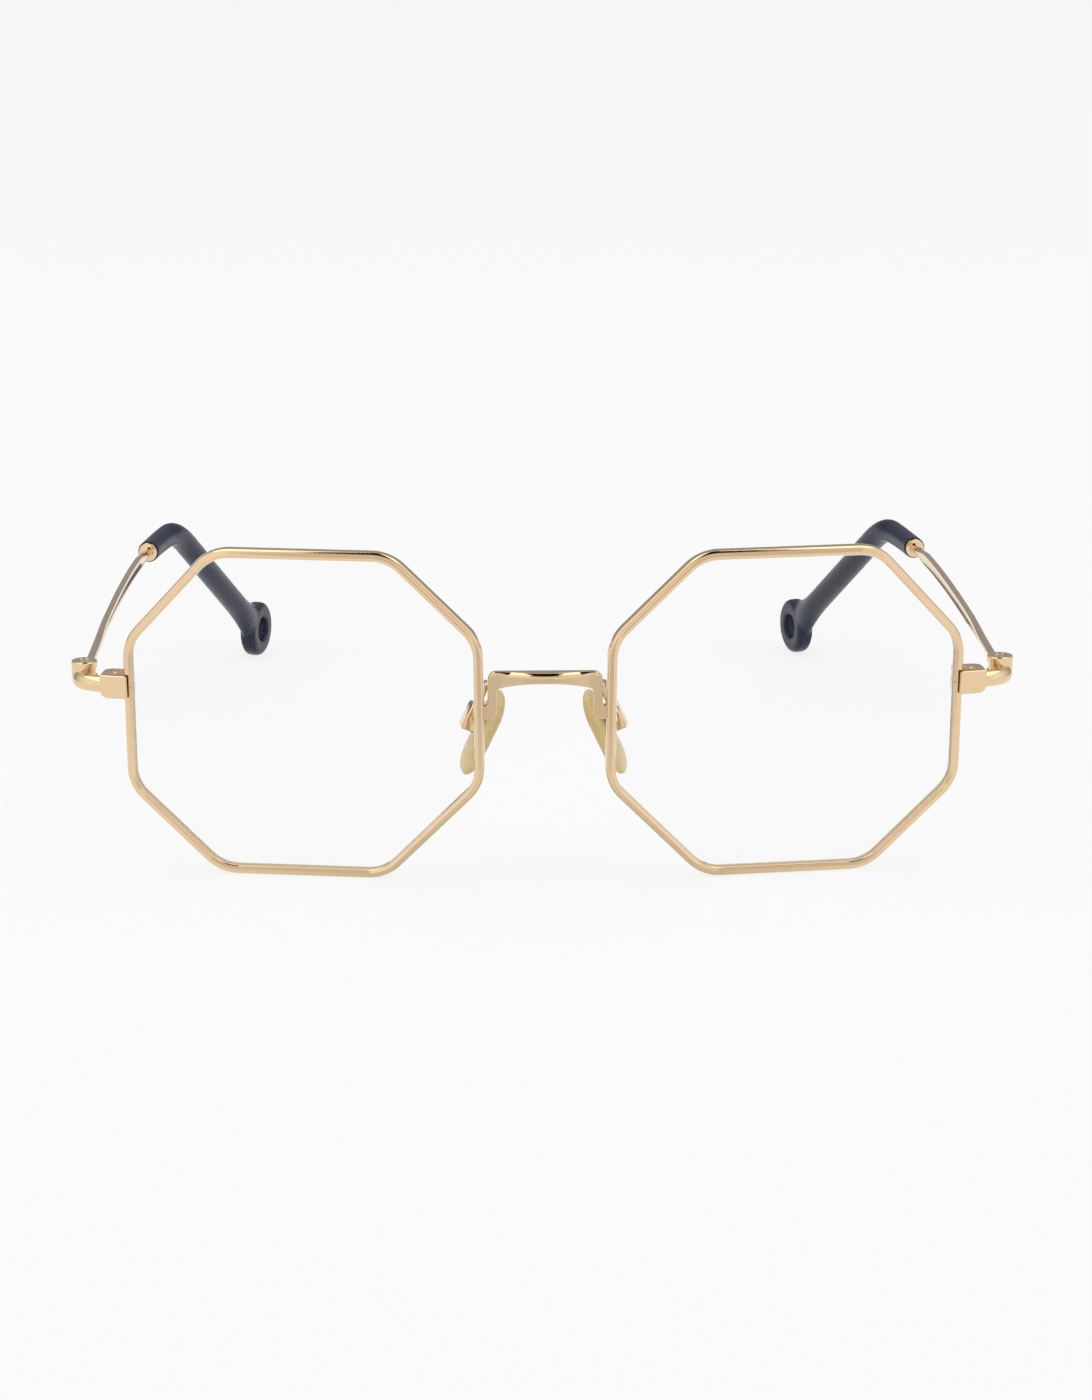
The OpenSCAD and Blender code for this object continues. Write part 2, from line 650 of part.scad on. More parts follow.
module tip() {
    blend_l = 9;
    steps = 6;
    inset = disc_d * 0.34;
    flare_start = disc_o - drop_way * (inset + blend_l);
    neck = [for (i = [0:steps]) flare_start + drop_way * blend_l * i / steps];
    line = concat(tip_line, neck);
    n = len(line) - 1;
    flare = [for (i = [0:n]) i < len(tip_line) ? 0 : pow((i - len(tip_line)) / steps, 2.2)];
    d = [for (i = [0:n]) blend(mouth_d, tip_d, min(1, i / 6))];
    wide = 2 * sqrt(disc_d * disc_d / 4 - inset * inset) - 0.1;
    bore = concat([mouth - 3 * mouth_way], tip_line, [core_end + drop_way]);
    color(navy) difference() {
        union() {
            loft(line, [for (i = [0:n]) blend(d[i], disc_t - 0.2, flare[i]) / 2],
                [for (i = [0:n]) blend(d[i], wide, flare[i]) / 2], [for (i = [0:n]) 1], 16);
            place(disc_o, [0, 0, 1], cross(disc_across, [0, 0, 1]), disc_across) end_disc();
        }
        wire(bore, temple_d + 2 * tip_play, 12);
        at_mouth() translate([0, 0, -1]) cylinder(d = cap_d + 2 * tip_play, h = cap_l + 1);
        place(disc_o, [0, 0, 1], cross(disc_across, [0, 0, 1]), disc_across)
            cylinder(d = eyelet_d, h = 4 * disc_t, center = true);
    }
}
module end_disc() {
    x = disc_d / 2 - disc_edge;
    y = disc_t / 2 - disc_edge;
    rotate_extrude($fn = 72) polygon(concat([[0, -disc_t / 2]],
        arc([x, -y], disc_edge, 270, 360, 4), arc([x, y], disc_edge, 0, 90, 4), [[0, disc_t / 2]]));
}

// The origin lies under the middle between the foremost rim corner and the back of the discs
foremost = min([for (ring = rim_wire) for (p = ring) rim_at(p[0], p[1], p[2])[1]]);
rearmost = disc_o[1] + (disc_d / 2 - disc_edge) * disc_across[0]
    + (disc_t / 2 - disc_edge) * disc_across[1] + disc_edge;
module centred() {
    translate([0, -(foremost + rearmost) / 2, 0]) children();
}
module left() {
    centred() children();
}
module right() {
    mirror([1, 0, 0]) centred() children();
}

centred() bridge();
right() rim();  // rim_right
left() rim();  // rim_left
right() lens();  // lens_right
left() lens();  // lens_left
right() end_piece();  // end_piece_right
left() end_piece();  // end_piece_left
right() closing_block_upper();  // closing_block_upper_right
left() closing_block_upper();  // closing_block_upper_left
right() closing_block_lower();  // closing_block_lower_right
left() closing_block_lower();  // closing_block_lower_left
right() closing_screw();  // closing_screw_right
left() closing_screw();  // closing_screw_left
right() hinge_screw();  // hinge_screw_right
left() hinge_screw();  // hinge_screw_left
right() pad_arm();  // pad_arm_right
left() pad_arm();  // pad_arm_left
right() pad_box();  // pad_box_right
left() pad_box();  // pad_box_left
right() pad_screw();  // pad_screw_right
left() pad_screw();  // pad_screw_left
right() pad_insert();  // pad_insert_right
left() pad_insert();  // pad_insert_left
right() nose_pad();  // nose_pad_right
left() nose_pad();  // nose_pad_left
right() temple();  // temple_right
left() temple();  // temple_left
right() ferrule();  // ferrule_right
left() ferrule();  // ferrule_left
right() tip();  // tip_right
left() tip();  // tip_left
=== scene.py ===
# Octagonal wire spectacle frame: polished pale gold, clear lenses, dark blue acetate tips.
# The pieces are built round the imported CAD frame. Their sizes are in millimetres and degrees,
# those of the studio in metres. The left piece is built first, the right one is its mirror image.

import math

import bmesh
import bpy
from mathutils import Matrix, Vector


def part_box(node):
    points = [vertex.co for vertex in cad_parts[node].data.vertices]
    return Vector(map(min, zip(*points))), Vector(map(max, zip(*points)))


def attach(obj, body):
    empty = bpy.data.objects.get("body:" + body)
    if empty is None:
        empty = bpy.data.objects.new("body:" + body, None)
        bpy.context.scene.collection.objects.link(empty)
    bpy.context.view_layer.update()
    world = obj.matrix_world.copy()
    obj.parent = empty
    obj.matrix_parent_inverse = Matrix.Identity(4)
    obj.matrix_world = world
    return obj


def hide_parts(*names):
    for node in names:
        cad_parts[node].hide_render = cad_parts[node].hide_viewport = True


sides = {"left": 1, "right": -1}
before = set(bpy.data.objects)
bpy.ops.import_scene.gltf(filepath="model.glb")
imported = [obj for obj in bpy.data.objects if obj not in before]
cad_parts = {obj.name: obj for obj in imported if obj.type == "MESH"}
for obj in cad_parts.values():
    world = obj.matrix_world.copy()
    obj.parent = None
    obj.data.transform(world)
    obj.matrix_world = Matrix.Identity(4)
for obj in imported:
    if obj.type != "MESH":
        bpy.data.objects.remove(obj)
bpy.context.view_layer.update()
print("frame loaded,", len(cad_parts), "nodes")


def linearColour(code):  # sRGB hex to the linear colour that shaders take
    parts = [int(code[i:i + 2], 16) / 255 for i in (1, 3, 5)]
    return [p / 12.92 if p <= 0.04045 else ((p + 0.055) / 1.055) ** 2.4 for p in parts] + [1]


def addNode(tree, kind, settings={}, links={}):
    node = tree.nodes.new("ShaderNode" + kind)
    for name, value in settings.items():
        if isinstance(name, int) or name in node.inputs:
            node.inputs[name].default_value = value
        else:
            setattr(node, name, value)
    for name, source in links.items():
        tree.links.new(source, node.inputs[name])
    return node


def newMaterial(name):
    material = bpy.data.materials.new(name)
    material.use_nodes = True
    material.node_tree.nodes.clear()
    return material, material.node_tree


def placeAt(origin, x, y, z):  # a frame with its origin and its three axes
    matrix = Matrix((x, y, z)).transposed().to_4x4()
    matrix.translation = origin
    return matrix


def arcPoints(centre, radius, start, end, steps):
    angles = [math.radians(start + (end - start) * i / steps) for i in range(steps + 1)]
    return [(centre[0] + radius * math.cos(a), centre[1] + radius * math.sin(a)) for a in angles]


def curvePoints(a, b, c, steps, last=False):  # a quadratic curve from a to c that leans towards b
    shares = [i / steps for i in range(steps + last)]
    return [a * (1 - t) ** 2 + b * 2 * t * (1 - t) + c * t * t for t in shares]


def ease(t):
    t = max(0, min(1, t))
    return t * t * (3 - 2 * t)


def between(a, b, share):
    return a + (b - a) * share


def quarterTurn(steps):  # angles from 0 to 90 degrees, in radians
    return [math.pi / 2 * k / steps for k in range(steps + 1)]


def roundedOutline(corners, radii, steps=5):  # a polygon with its corners filleted
    points, count = [], len(corners)
    for i, radius in enumerate(radii):
        here = Vector(corners[i])
        back = (Vector(corners[i - 1]) - here).normalized()
        ahead = (Vector(corners[(i + 1) % count]) - here).normalized()
        half = back.angle(ahead) / 2
        if radius <= 0 or half > 1.5:
            points.append(here)
            continue
        cut = radius / math.tan(half)
        centre = here + (back + ahead).normalized() * radius / math.sin(half)
        first, final = here + back * cut - centre, here + ahead * cut - centre
        sweep = first.angle_signed(final)
        points += [centre + Matrix.Rotation(-sweep * k / steps, 2) @ first
                for k in range(steps + 1)]
    return [(p[0], p[1]) for p in points]


def insetOutline(points, amount):
    count, inset = len(points), []
    area = sum(points[i - 1][0] * points[i][1] - points[i][0] * points[i - 1][1]
            for i in range(count))
    for i in range(count):
        here = Vector(points[i])
        back = (here - Vector(points[i - 1])).normalized()
        ahead = (Vector(points[(i + 1) % count]) - here).normalized()
        normals = [Vector((-d.y, d.x)) * (1 if area > 0 else -1) for d in (back, ahead)]
        miter = normals[0] + normals[1]
        miter *= 2 / max(miter.length_squared, 0.5)
        inset.append((here.x + miter.x * amount, here.y + miter.y * amount))
    return inset


class Shape:  # points and faces of one piece, in millimetres
    def __init__(self):
        self.points, self.faces = [], []

    def skin(self, rings, capped=True):
        start, count = len(self.points), len(rings[0])
        self.points += [Vector(p) for ring in rings for p in ring]
        for i in range(len(rings) - 1):
            a, b = start + i * count, start + (i + 1) * count
            self.faces += [(a + k, a + (k + 1) % count, b + (k + 1) % count, b + k)
                    for k in range(count)]
        if capped:
            self.faces += [tuple(range(start + count - 1, start - 1, -1)),
                    tuple(range(len(self.points) - count, len(self.points)))]

    def prism(self, outline, low, high, place, edge=0.12, steps=3):  # along z, edges rounded
        levels = [(edge * (1 - math.sin(a)), low + edge * (1 - math.cos(a)))
                for a in quarterTurn(steps)]
        levels += [(inset, high - (z - low)) for inset, z in reversed(levels)]
        self.skin([[place @ Vector((x, y, z)) for x, y in insetOutline(outline, inset)]
                for inset, z in levels])

    def lathe(self, profile, place, steps=40):  # profile holds (radius, z), open ends are capped
        angles = [2 * math.pi * k / steps for k in range(steps)]
        self.skin([[place @ Vector((r * math.cos(a), r * math.sin(a), z)) for a in angles]
                for r, z in profile])

    def ringLathe(self, profile, place, steps=48):  # a closed profile, with a hole in the middle
        self.skin([[place @ Vector((r * math.cos(a), r * math.sin(a), z)) for r, z in profile]
                for a in [2 * math.pi * k / steps for k in range(steps + 1)]], capped=False)

    def sweep(self, path, across, tall, square=None, sides=24):
        # section i reaches across[i] to the side and tall[i] upwards; a smaller square is squarer
        rings, last = [], len(path) - 1
        for i, point in enumerate(path):
            way = (path[min(i + 1, last)] - path[max(i - 1, 0)]).normalized()
            side = way.cross(Vector((0, 0, 1))).normalized()
            up = side.cross(way)
            power = square[i] if square else 1
            ring = []
            for k in range(sides):
                a = 2 * math.pi * (k + 0.5) / sides
                x = math.copysign(abs(math.cos(a)) ** power, math.cos(a))
                y = math.copysign(abs(math.sin(a)) ** power, math.sin(a))
                ring.append(point + side * (across[i] * x) + up * (tall[i] * y))
            rings.append(ring)
        self.skin(rings)

    def wire(self, path, diameter, sides=24):
        self.sweep(path, [diameter / 2] * len(path), [diameter / 2] * len(path), sides=sides)


def addObject(name, data):
    thing = bpy.data.objects.new(name, data)
    bpy.context.scene.collection.objects.link(thing)
    return thing


def makePiece(name, shape, hand, body, slot, node, material=None, sharp=40):
    # the hand, left or right, fills the braces in the names
    side, name = sides[hand], name.format(hand)
    mesh = bpy.data.meshes.new(name)
    points = [(p.x * side / 1000, (p.y + rowShift) / 1000, p.z / 1000) for p in shape.points]
    mesh.from_pydata(points, [], shape.faces)
    work = bmesh.new()
    work.from_mesh(mesh)
    bmesh.ops.remove_doubles(work, verts=work.verts, dist=1e-7)
    bmesh.ops.recalc_face_normals(work, faces=work.faces)
    work.to_mesh(mesh)
    work.free()
    mesh.shade_smooth()
    mesh.set_sharp_from_angle(angle=math.radians(sharp))
    piece = addObject(name, mesh)
    mesh.materials.append(material or finishes[slot])
    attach(piece, body.format(hand))
    if node:
        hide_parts(node.format(hand))
    return piece


def meltTogether(piece, voxel, passes):  # fuses a piece's shells into one moulded skin
    material = piece.data.materials[0]
    melt = piece.modifiers.new("melt", "REMESH")
    melt.mode = "VOXEL"
    melt.voxel_size = voxel / 1000
    melt.use_smooth_shade = True
    relax = piece.modifiers.new("relax", "SMOOTH")
    relax.factor = 0.5
    relax.iterations = passes
    bpy.context.view_layer.update()
    fused = piece.evaluated_get(bpy.context.evaluated_depsgraph_get())
    melted = bpy.data.meshes.new_from_object(fused)
    piece.modifiers.clear()
    piece.data = melted
    melted.materials.clear()
    melted.materials.append(material)
    melted.shade_smooth()


# Nickel silver wire, drawn, polished and plated in pale gold under clear lacquer. The eye sees
# a near mirror with a faint haze, a little warmer in some places than in others.
def platedGold(name, tone, shade, roughness):
    material, tree = newMaterial(name)
    place = {"Vector": addNode(tree, "TexCoord").outputs["Object"]}
    # drifts of tone, 3 mm
    cloud = addNode(tree, "TexNoise", {"Scale": 1000 / 3.0, "Detail": 3}, place)
    # polish haze, 0.35 mm
    haze = addNode(tree, "TexNoise", {"Scale": 1000 / 0.35, "Detail": 5, "Roughness": 0.6}, place)
    # buffing grit, drawn coarse at 0.12 mm to show
    grit = addNode(tree, "TexNoise", {"Scale": 1000 / 0.12, "Detail": 2}, place)
    colour = addNode(tree, "Mix", {"data_type": "RGBA", 6: linearColour(tone),
            7: linearColour(shade)}, {0: cloud.outputs["Fac"]})
    rough = addNode(tree, "MapRange", {"From Min": 0.3, "From Max": 0.7,
            "To Min": roughness * 0.75, "To Max": roughness * 1.35},
            {"Value": haze.outputs["Fac"]})
    bump = addNode(tree, "Bump", {"Strength": 0.03, "Distance": 0.00001},
            {"Height": grit.outputs["Fac"]})
    shader = addNode(tree, "BsdfPrincipled", {"Metallic": 1.0}, {"Base Color": colour.outputs[2],
            "Roughness": rough.outputs["Result"], "Normal": bump.outputs["Normal"]})
    addNode(tree, "OutputMaterial", {}, {"Surface": shader.outputs["BSDF"]})
    return material


finishes = {  # by slot
    "wire_gold": platedGold("polishedPaleGoldWire", "#E2C8A5", "#DCC09A", 0.07),
    "bright_gold": platedGold("polishedPaleGoldCasting", "#E4C9A4", "#DDC199", 0.06),
    "screw_gold": platedGold("turnedGoldScrew", "#EAD0AA", "#DDBD92", 0.16),
}


# Demonstration lens of clear acrylic, cut from polished sheet. The eye sees only a faint edge
# and a thin reflection. Lamps pass through it, so it casts no shadow.
def clearAcrylic():
    material, tree = newMaterial("clearAcrylicLens")
    place = {"Vector": addNode(tree, "TexCoord").outputs["Object"]}
    # wiped film, 12 mm
    film = addNode(tree, "TexNoise", {"Scale": 1000 / 12.0, "Detail": 2}, place)
    rough = addNode(tree, "MapRange", {"To Min": 0.0, "To Max": 0.02},
            {"Value": film.outputs["Fac"]})
    glass = addNode(tree, "BsdfPrincipled", {  # acrylic has 1.49, less what the coat takes
        "Base Color": linearColour("#FEFEFE"), "IOR": 1.15, "Transmission Weight": 1.0},
        {"Roughness": rough.outputs["Result"]})
    through = addNode(tree, "BsdfTransparent")
    path = addNode(tree, "LightPath")
    either = addNode(tree, "MixShader", {}, {0: path.outputs["Is Shadow Ray"],
            1: glass.outputs["BSDF"], 2: through.outputs["BSDF"]})
    addNode(tree, "OutputMaterial", {}, {"Surface": either.outputs["Shader"]})
    return material


# The bevel of the lens, ground by a wheel to sit in the groove. The eye sees a matt line. Its
# tan is painted: the reflection of the gold groove behind it, and that groove's shade.
def paintedGrooveBevel():
    material, tree = newMaterial("bevelPaintedGrooveShade")
    place = {"Vector": addNode(tree, "TexCoord").outputs["Object"]}
    # wheel marks, drawn coarse at 0.2 mm
    grit = addNode(tree, "TexNoise", {"Scale": 1000 / 0.2, "Detail": 2}, place)
    # painted reflection and shade of the gold groove, mottled by the wheel marks
    colour = addNode(tree, "Mix", {"data_type": "RGBA", 6: linearColour("#B39F7E"),
            7: linearColour("#C6B596")}, {0: grit.outputs["Fac"]})
    shader = addNode(tree, "BsdfPrincipled", {"IOR": 1.49, "Roughness": 0.6},
            {"Base Color": colour.outputs[2]})
    addNode(tree, "OutputMaterial", {}, {"Surface": shader.outputs["BSDF"]})
    return material


# Cellulose acetate, cut from dark blue sheet, tumbled and polished by cloth. The eye sees a deep
# blue with a soft grey sheen and slow clouds in its colour.
def tumbledAcetate():
    material, tree = newMaterial("tumbledNavyAcetate")
    place = {"Vector": addNode(tree, "TexCoord").outputs["Object"]}
    # colour drifts in the sheet, 5 mm
    cloud = addNode(tree, "TexNoise", {"Scale": 1000 / 5.0, "Detail": 3, "Distortion": 0.6}, place)
    # tumbling haze, 2 mm
    haze = addNode(tree, "TexNoise", {"Scale": 1000 / 2.0, "Detail": 1}, place)
    colour = addNode(tree, "Mix", {"data_type": "RGBA", 6: linearColour("#0B1029"),
            7: linearColour("#131B3A")}, {0: cloud.outputs["Fac"]})
    rough = addNode(tree, "MapRange", {"From Min": 0.3, "From Max": 0.7, "To Min": 0.29,
            "To Max": 0.34}, {"Value": haze.outputs["Fac"]})
    bump = addNode(tree, "Bump", {"Strength": 0.02, "Distance": 0.00001},
            {"Height": haze.outputs["Fac"]})
    shader = addNode(tree, "BsdfPrincipled", {"IOR": 1.48, "Specular IOR Level": 0.26},
            {"Base Color": colour.outputs[2], "Roughness": rough.outputs["Result"],
            "Normal": bump.outputs["Normal"]})
    addNode(tree, "OutputMaterial", {}, {"Surface": shader.outputs["BSDF"]})
    return material


# Clear silicone, moulded over a plastic core and tinted champagne. The eye sees a soft milky
# glow, thicker colour in the middle and a satin face.
def mouldedSilicone():
    material, tree = newMaterial("mouldedChampagneSilicone")
    place = {"Vector": addNode(tree, "TexCoord").outputs["Object"]}
    # milkiness, 2.5 mm
    cloud = addNode(tree, "TexNoise", {"Scale": 1000 / 2.5, "Detail": 2}, place)
    # mould texture, 0.25 mm
    skin = addNode(tree, "TexNoise", {"Scale": 1000 / 0.25, "Detail": 3}, place)
    colour = addNode(tree, "Mix", {"data_type": "RGBA", 6: linearColour("#DCC48E"),
            7: linearColour("#E6D3A2")}, {0: cloud.outputs["Fac"]})
    rough = addNode(tree, "MapRange", {"To Min": 0.26, "To Max": 0.4},
            {"Value": skin.outputs["Fac"]})
    bump = addNode(tree, "Bump", {"Strength": 0.1, "Distance": 0.00002},
            {"Height": skin.outputs["Fac"]})
    shader = addNode(tree, "BsdfPrincipled", {
        "IOR": 1.41, "Subsurface Weight": 0.5, "Subsurface Radius": (1.0, 0.8, 0.5),
        "Subsurface Scale": 0.002, "Transmission Weight": 0.25},
        {"Base Color": colour.outputs[2], "Roughness": rough.outputs["Result"],
        "Normal": bump.outputs["Normal"]})
    addNode(tree, "OutputMaterial", {}, {"Surface": shader.outputs["BSDF"]})
    return material


# Polycarbonate core of the pad, injection moulded. The eye sees a firmer, paler amber plastic.
def mouldedCore():
    material, tree = newMaterial("mouldedPolycarbonateCore")
    place = {"Vector": addNode(tree, "TexCoord").outputs["Object"]}
    # flow marks, 0.8 mm
    flow = addNode(tree, "TexNoise", {"Scale": 1000 / 0.8, "Detail": 2}, place)
    colour = addNode(tree, "Mix", {"data_type": "RGBA", 6: linearColour("#CDB57C"),
            7: linearColour("#DCC894")}, {0: flow.outputs["Fac"]})
    rough = addNode(tree, "MapRange", {"To Min": 0.2, "To Max": 0.35},
            {"Value": flow.outputs["Fac"]})
    shader = addNode(tree, "BsdfPrincipled", {"IOR": 1.58, "Transmission Weight": 0.2},
            {"Base Color": colour.outputs[2], "Roughness": rough.outputs["Result"]})
    addNode(tree, "OutputMaterial", {}, {"Surface": shader.outputs["BSDF"]})
    return material


# Gilt foil, stamped hot into the acetate. The eye sees dull gold, worn thin in places.
def stampedFoil():
    material, tree = newMaterial("stampedGiltFoil")
    place = {"Vector": addNode(tree, "TexCoord").outputs["Object"]}
    # worn spots, 0.4 mm
    wear = addNode(tree, "TexNoise", {"Scale": 1000 / 0.4, "Detail": 3}, place)
    colour = addNode(tree, "Mix", {"data_type": "RGBA", 6: linearColour("#4A4536"),
            7: linearColour("#93845F")}, {0: wear.outputs["Fac"]})
    shader = addNode(tree, "BsdfPrincipled", {"Metallic": 0.6, "Roughness": 0.45},
            {"Base Color": colour.outputs[2]})
    addNode(tree, "OutputMaterial", {}, {"Surface": shader.outputs["BSDF"]})
    return material


bevelWithPaintedGroove = paintedGrooveBevel()
giltFoil = stampedFoil()
finishes.update({"clear_lens": clearAcrylic(), "navy_acetate": tumbledAcetate(),
        "soft_pad": mouldedSilicone(), "pad_core": mouldedCore()})
print("materials made")


rims = {
    "width": 53.8, "height": 51.2,
    "topSide": 27.0, "bottomSide": 25.4, "bottomShift": 0.7,
    "noseSide": 22.7, "noseRise": 1.0,
    "templeSide": 23.0, "templeDrop": 0.6,
    "cornerRadius": 7.0,
    "noseGap": 18.4,
    "wrap": 8.0, "lean": 5.0,
    "wireWidth": 1.35, "wireDepth": 2.0,
    "standingEdge": 0.35,  # edge radius of the CAD wire, on which the frame stands
    "outerEdge": (0.6, 0.55),  # rounding of the outer edges: in the lens plane, and in depth
    "innerEdge": 0.3,
    "crown": 0.14, "crownShare": 0.7,  # the front face is a dome, lower at its edges by this share
    "grooveDepth": 0.5, "grooveWidth": 0.8,
    "splitGap": 0.04, "cornerSteps": 14,
}
wrap, lean = math.radians(rims["wrap"]), math.radians(rims["lean"])
rimX = Vector((math.cos(wrap), math.sin(wrap), 0))
rimY = Vector((-math.sin(wrap) * math.cos(lean), math.cos(wrap) * math.cos(lean), math.sin(lean)))
rimZ = Vector((math.sin(wrap) * math.sin(lean), -math.cos(wrap) * math.sin(lean), math.cos(lean)))
rimOrigin = Vector((rims["noseGap"] / 2 + rims["width"] / 2 * math.cos(wrap),
        rims["width"] / 2 * math.sin(wrap),
        rims["height"] / 2 * math.cos(lean) - rims["standingEdge"] * math.sin(lean)))
rimPlace = placeAt(rimOrigin, rimX, rimY, rimZ)

endPieces = {
    "rise": 3.7, "plateLength": 3.65, "plateLap": 0.55, "plateHeight": 3.6, "plateProud": 0.4,
    "plateThickness": 1.15, "plateCorner": 1.2, "plateEdge": 0.16,
    "lapClear": 0.02,  # what stands behind the lap clears the rim by this
    "wallThickness": 0.4, "wallShare": 0.85,  # wall behind the plate, share of the block's depth
    "sweep": 15.0, "blockDepth": 2.35, "blockCorner": 1.3, "blockLap": 0.95, "blockEdge": 0.1,
    "closingShare": 0.41,  # where the closing screw stands along the plate
    "armDiameter": 2.5, "armRise": -0.16, "armShare": 0.25, "armLap": 0.5, "armSunk": 0.45,
    "hingeOut": 6.25, "hingeBack": 6.85, "hingeRise": 0.9,
    "barrelDiameter": 3.9, "barrelHeight": 3.2, "barrelEdge": 0.2, "slotEdge": 0.04,
    # the stop wall, open where the temple folds
    "web": (204.2, 400), "webInside": (394, 210), "webRadius": 1.6,
    "knuckleHeight": 1.1, "knuckleDiameter": 3.0, "knucklePlay": 0.05,
}
blockOrigin = rimPlace @ Vector((rims["width"] / 2, 0, endPieces["rise"]))
hinge = blockOrigin + Vector([endPieces[way] for way in ("hingeOut", "hingeBack", "hingeRise")])
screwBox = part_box("hinge_screw_left")  # the CAD hinge tells how far the row frame is shifted
rowShift = (screwBox[0].y + screwBox[1].y) / 2 * 1000 - hinge.y


def octagonCorners():
    w, h = rims["width"] / 2, rims["height"] / 2
    temple, nose = rims["templeSide"] / 2, rims["noseSide"] / 2
    top, bottom, shift = rims["topSide"] / 2, rims["bottomSide"] / 2, rims["bottomShift"]
    drop, rise = rims["templeDrop"], rims["noseRise"]
    return [Vector(p) for p in [(w, -drop - temple), (w, -drop + temple), (top, h), (-top, h),
            (-w, rise + nose), (-w, rise - nose), (shift - bottom, -h), (shift + bottom, -h)]]


def rimStations():  # points on the outer face of the rim, each with its outward direction
    corners, radius, stations = octagonCorners(), rims["cornerRadius"], []
    steps = rims["cornerSteps"]
    for i in range(1, 9):
        back = (corners[i % 8] - corners[i - 1]).normalized()
        ahead = (corners[(i + 1) % 8] - corners[i % 8]).normalized()
        turn = back.angle(ahead)
        inward = Vector((-back.y, back.x))
        centre = corners[i % 8] - back * radius * math.tan(turn / 2) + inward * radius
        start = math.atan2(-inward.y, -inward.x)
        for k in range(steps + 1):
            a = start + turn * k / steps
            out = Vector((math.cos(a), math.sin(a)))
            stations.append((centre + out * radius, out))
    return stations


def wireSection():  # x grows outwards, y from front to back
    width, depth, lip = rims["wireWidth"], rims["wireDepth"], rims["innerEdge"]
    (a, b), groove = rims["outerEdge"], rims["grooveDepth"]
    front = (depth - rims["grooveWidth"]) / 2
    quarter = quarterTurn(6)
    rise = rims["crown"] * rims["crownShare"]
    outer = [(-a + a * math.cos(t), depth - b + (b - rise) * math.sin(t))
            for t in reversed(quarter)]
    inner = [(-width + lip - lip * math.cos(t), rise + (lip - rise) * (1 - math.sin(t)))
            for t in reversed(quarter[::2])]
    dome = [(s, rims["crown"] * (1 - math.sin(math.pi * s))) for s in (0.25, 0.5, 0.75)]
    face = [(between(-a, -width + lip, s), y) for s, y in dome]
    section = outer + [(x, depth - y) for x, y in reversed(outer)] + face + inner
    section += [(-width, front), (-width + groove, front), (-width + groove, depth - front),
            (-width, depth - front)] + [(x, depth - y) for x, y in reversed(inner)]
    return section


def buildRim(hand):
    shape, section = Shape(), wireSection()
    stations = rimStations()
    splitUp, splitDown = [(Vector((rims["width"] / 2, endPieces["rise"] + gap)), Vector((1, 0)))
            for gap in (rims["splitGap"] / 2, -rims["splitGap"] / 2)]
    shape.skin([[rimPlace @ Vector((p.x + x * n.x, y, p.y + x * n.y)) for x, y in section]
            for p, n in [splitUp] + stations + [splitDown]])
    makePiece("rimWire_{}", shape, hand, "front", "wire_gold", "rim_{}")


lenses = {
    "thickness": 1.5, "play": 0.05, "edge": 0.06,
    "lap": 0.01,  # into the wire, so that no dark line shows
    "bevelFlank": 0.12,
}


def buildLens(hand):
    shape = Shape()
    outline = [(p.x, p.y) for p, n in rimStations()]
    middle, half = rims["wireDepth"] / 2, lenses["thickness"] / 2
    edge, flank = lenses["edge"], lenses["bevelFlank"]
    body = insetOutline(outline, rims["wireWidth"] - lenses["lap"])
    chamfer = insetOutline(body, edge)
    levels = [(chamfer, -half), (body, -half + edge), (body, half - edge), (chamfer, half)]
    shape.skin([[rimPlace @ Vector((x, middle + y, z)) for x, z in ring] for ring, y in levels])
    makePiece("clearLens_{}", shape, hand, "front", "clear_lens", "lens_{}", sharp=20)
    shape, tongue = Shape(), rims["grooveWidth"] / 2 - lenses["play"]
    wall, seat = rims["wireWidth"], rims["wireWidth"] - rims["grooveDepth"] + lenses["play"]
    section = [(-wall, middle - tongue), (-seat, middle - tongue + flank),
            (-seat, middle + tongue - flank), (-wall, middle + tongue)]
    stations = rimStations()
    shape.skin([[rimPlace @ Vector((p.x + x * n.x, y, p.y + x * n.y)) for x, y in section]
            for p, n in stations + stations[:1]], capped=False)
    makePiece("lensBevel_{}", shape, hand, "front", "clear_lens", None, bevelWithPaintedGroove)


for hand in sides:
    buildRim(hand)
    buildLens(hand)
print("rims and lenses made")


bridge = {
    "legGap": 0.7, "rise": 7.3, "height": 7.3,
    "barMiddle": 1.6, "barEnd": 2.95, "barDepth": 3.0, "cornerRadius": 1.2,
    "legWidth": 1.4, "legDepth": 1.6, "footHeight": 2.2, "footFillet": 0.3,
    "footCurve": 0.8,  # radius of the foot's inner curve, as a share of the leg's width
    "footReach": 0.35,  # how far the feet lie over the rims
    "innerDown": 0.4, "innerAcross": 0.45,  # size of the curve between leg and underside
    "legShare": 0.35,  # share of the change in depth that the leg takes, the corner takes the rest
    "edge": 0.25,  # rounding along the edges
    "frontEdge": (0.66, 0.25),  # rounding of the upper front edge, on the bar and over the legs
    "changeStart": 5.2, "changeLength": 1.8,  # where the one turns into the other
    "backEdge": 0.8,  # rounding of the upper back edge
    "edgeShare": 0.45, "frontShare": 0.8,  # the most that the roundings take of the bar's height
    "turnLead": 0.4, "turnLength": 1.4,  # where the upper edges grow round, from leg to bar
    # seen from above, the front bows by this radius, straightens at this slope and stops this deep
    "bow": 7.1, "sweep": 0.265, "legBack": 1.4,
    "legSteps": 8, "cornerSteps": 12, "barSteps": 16,
}


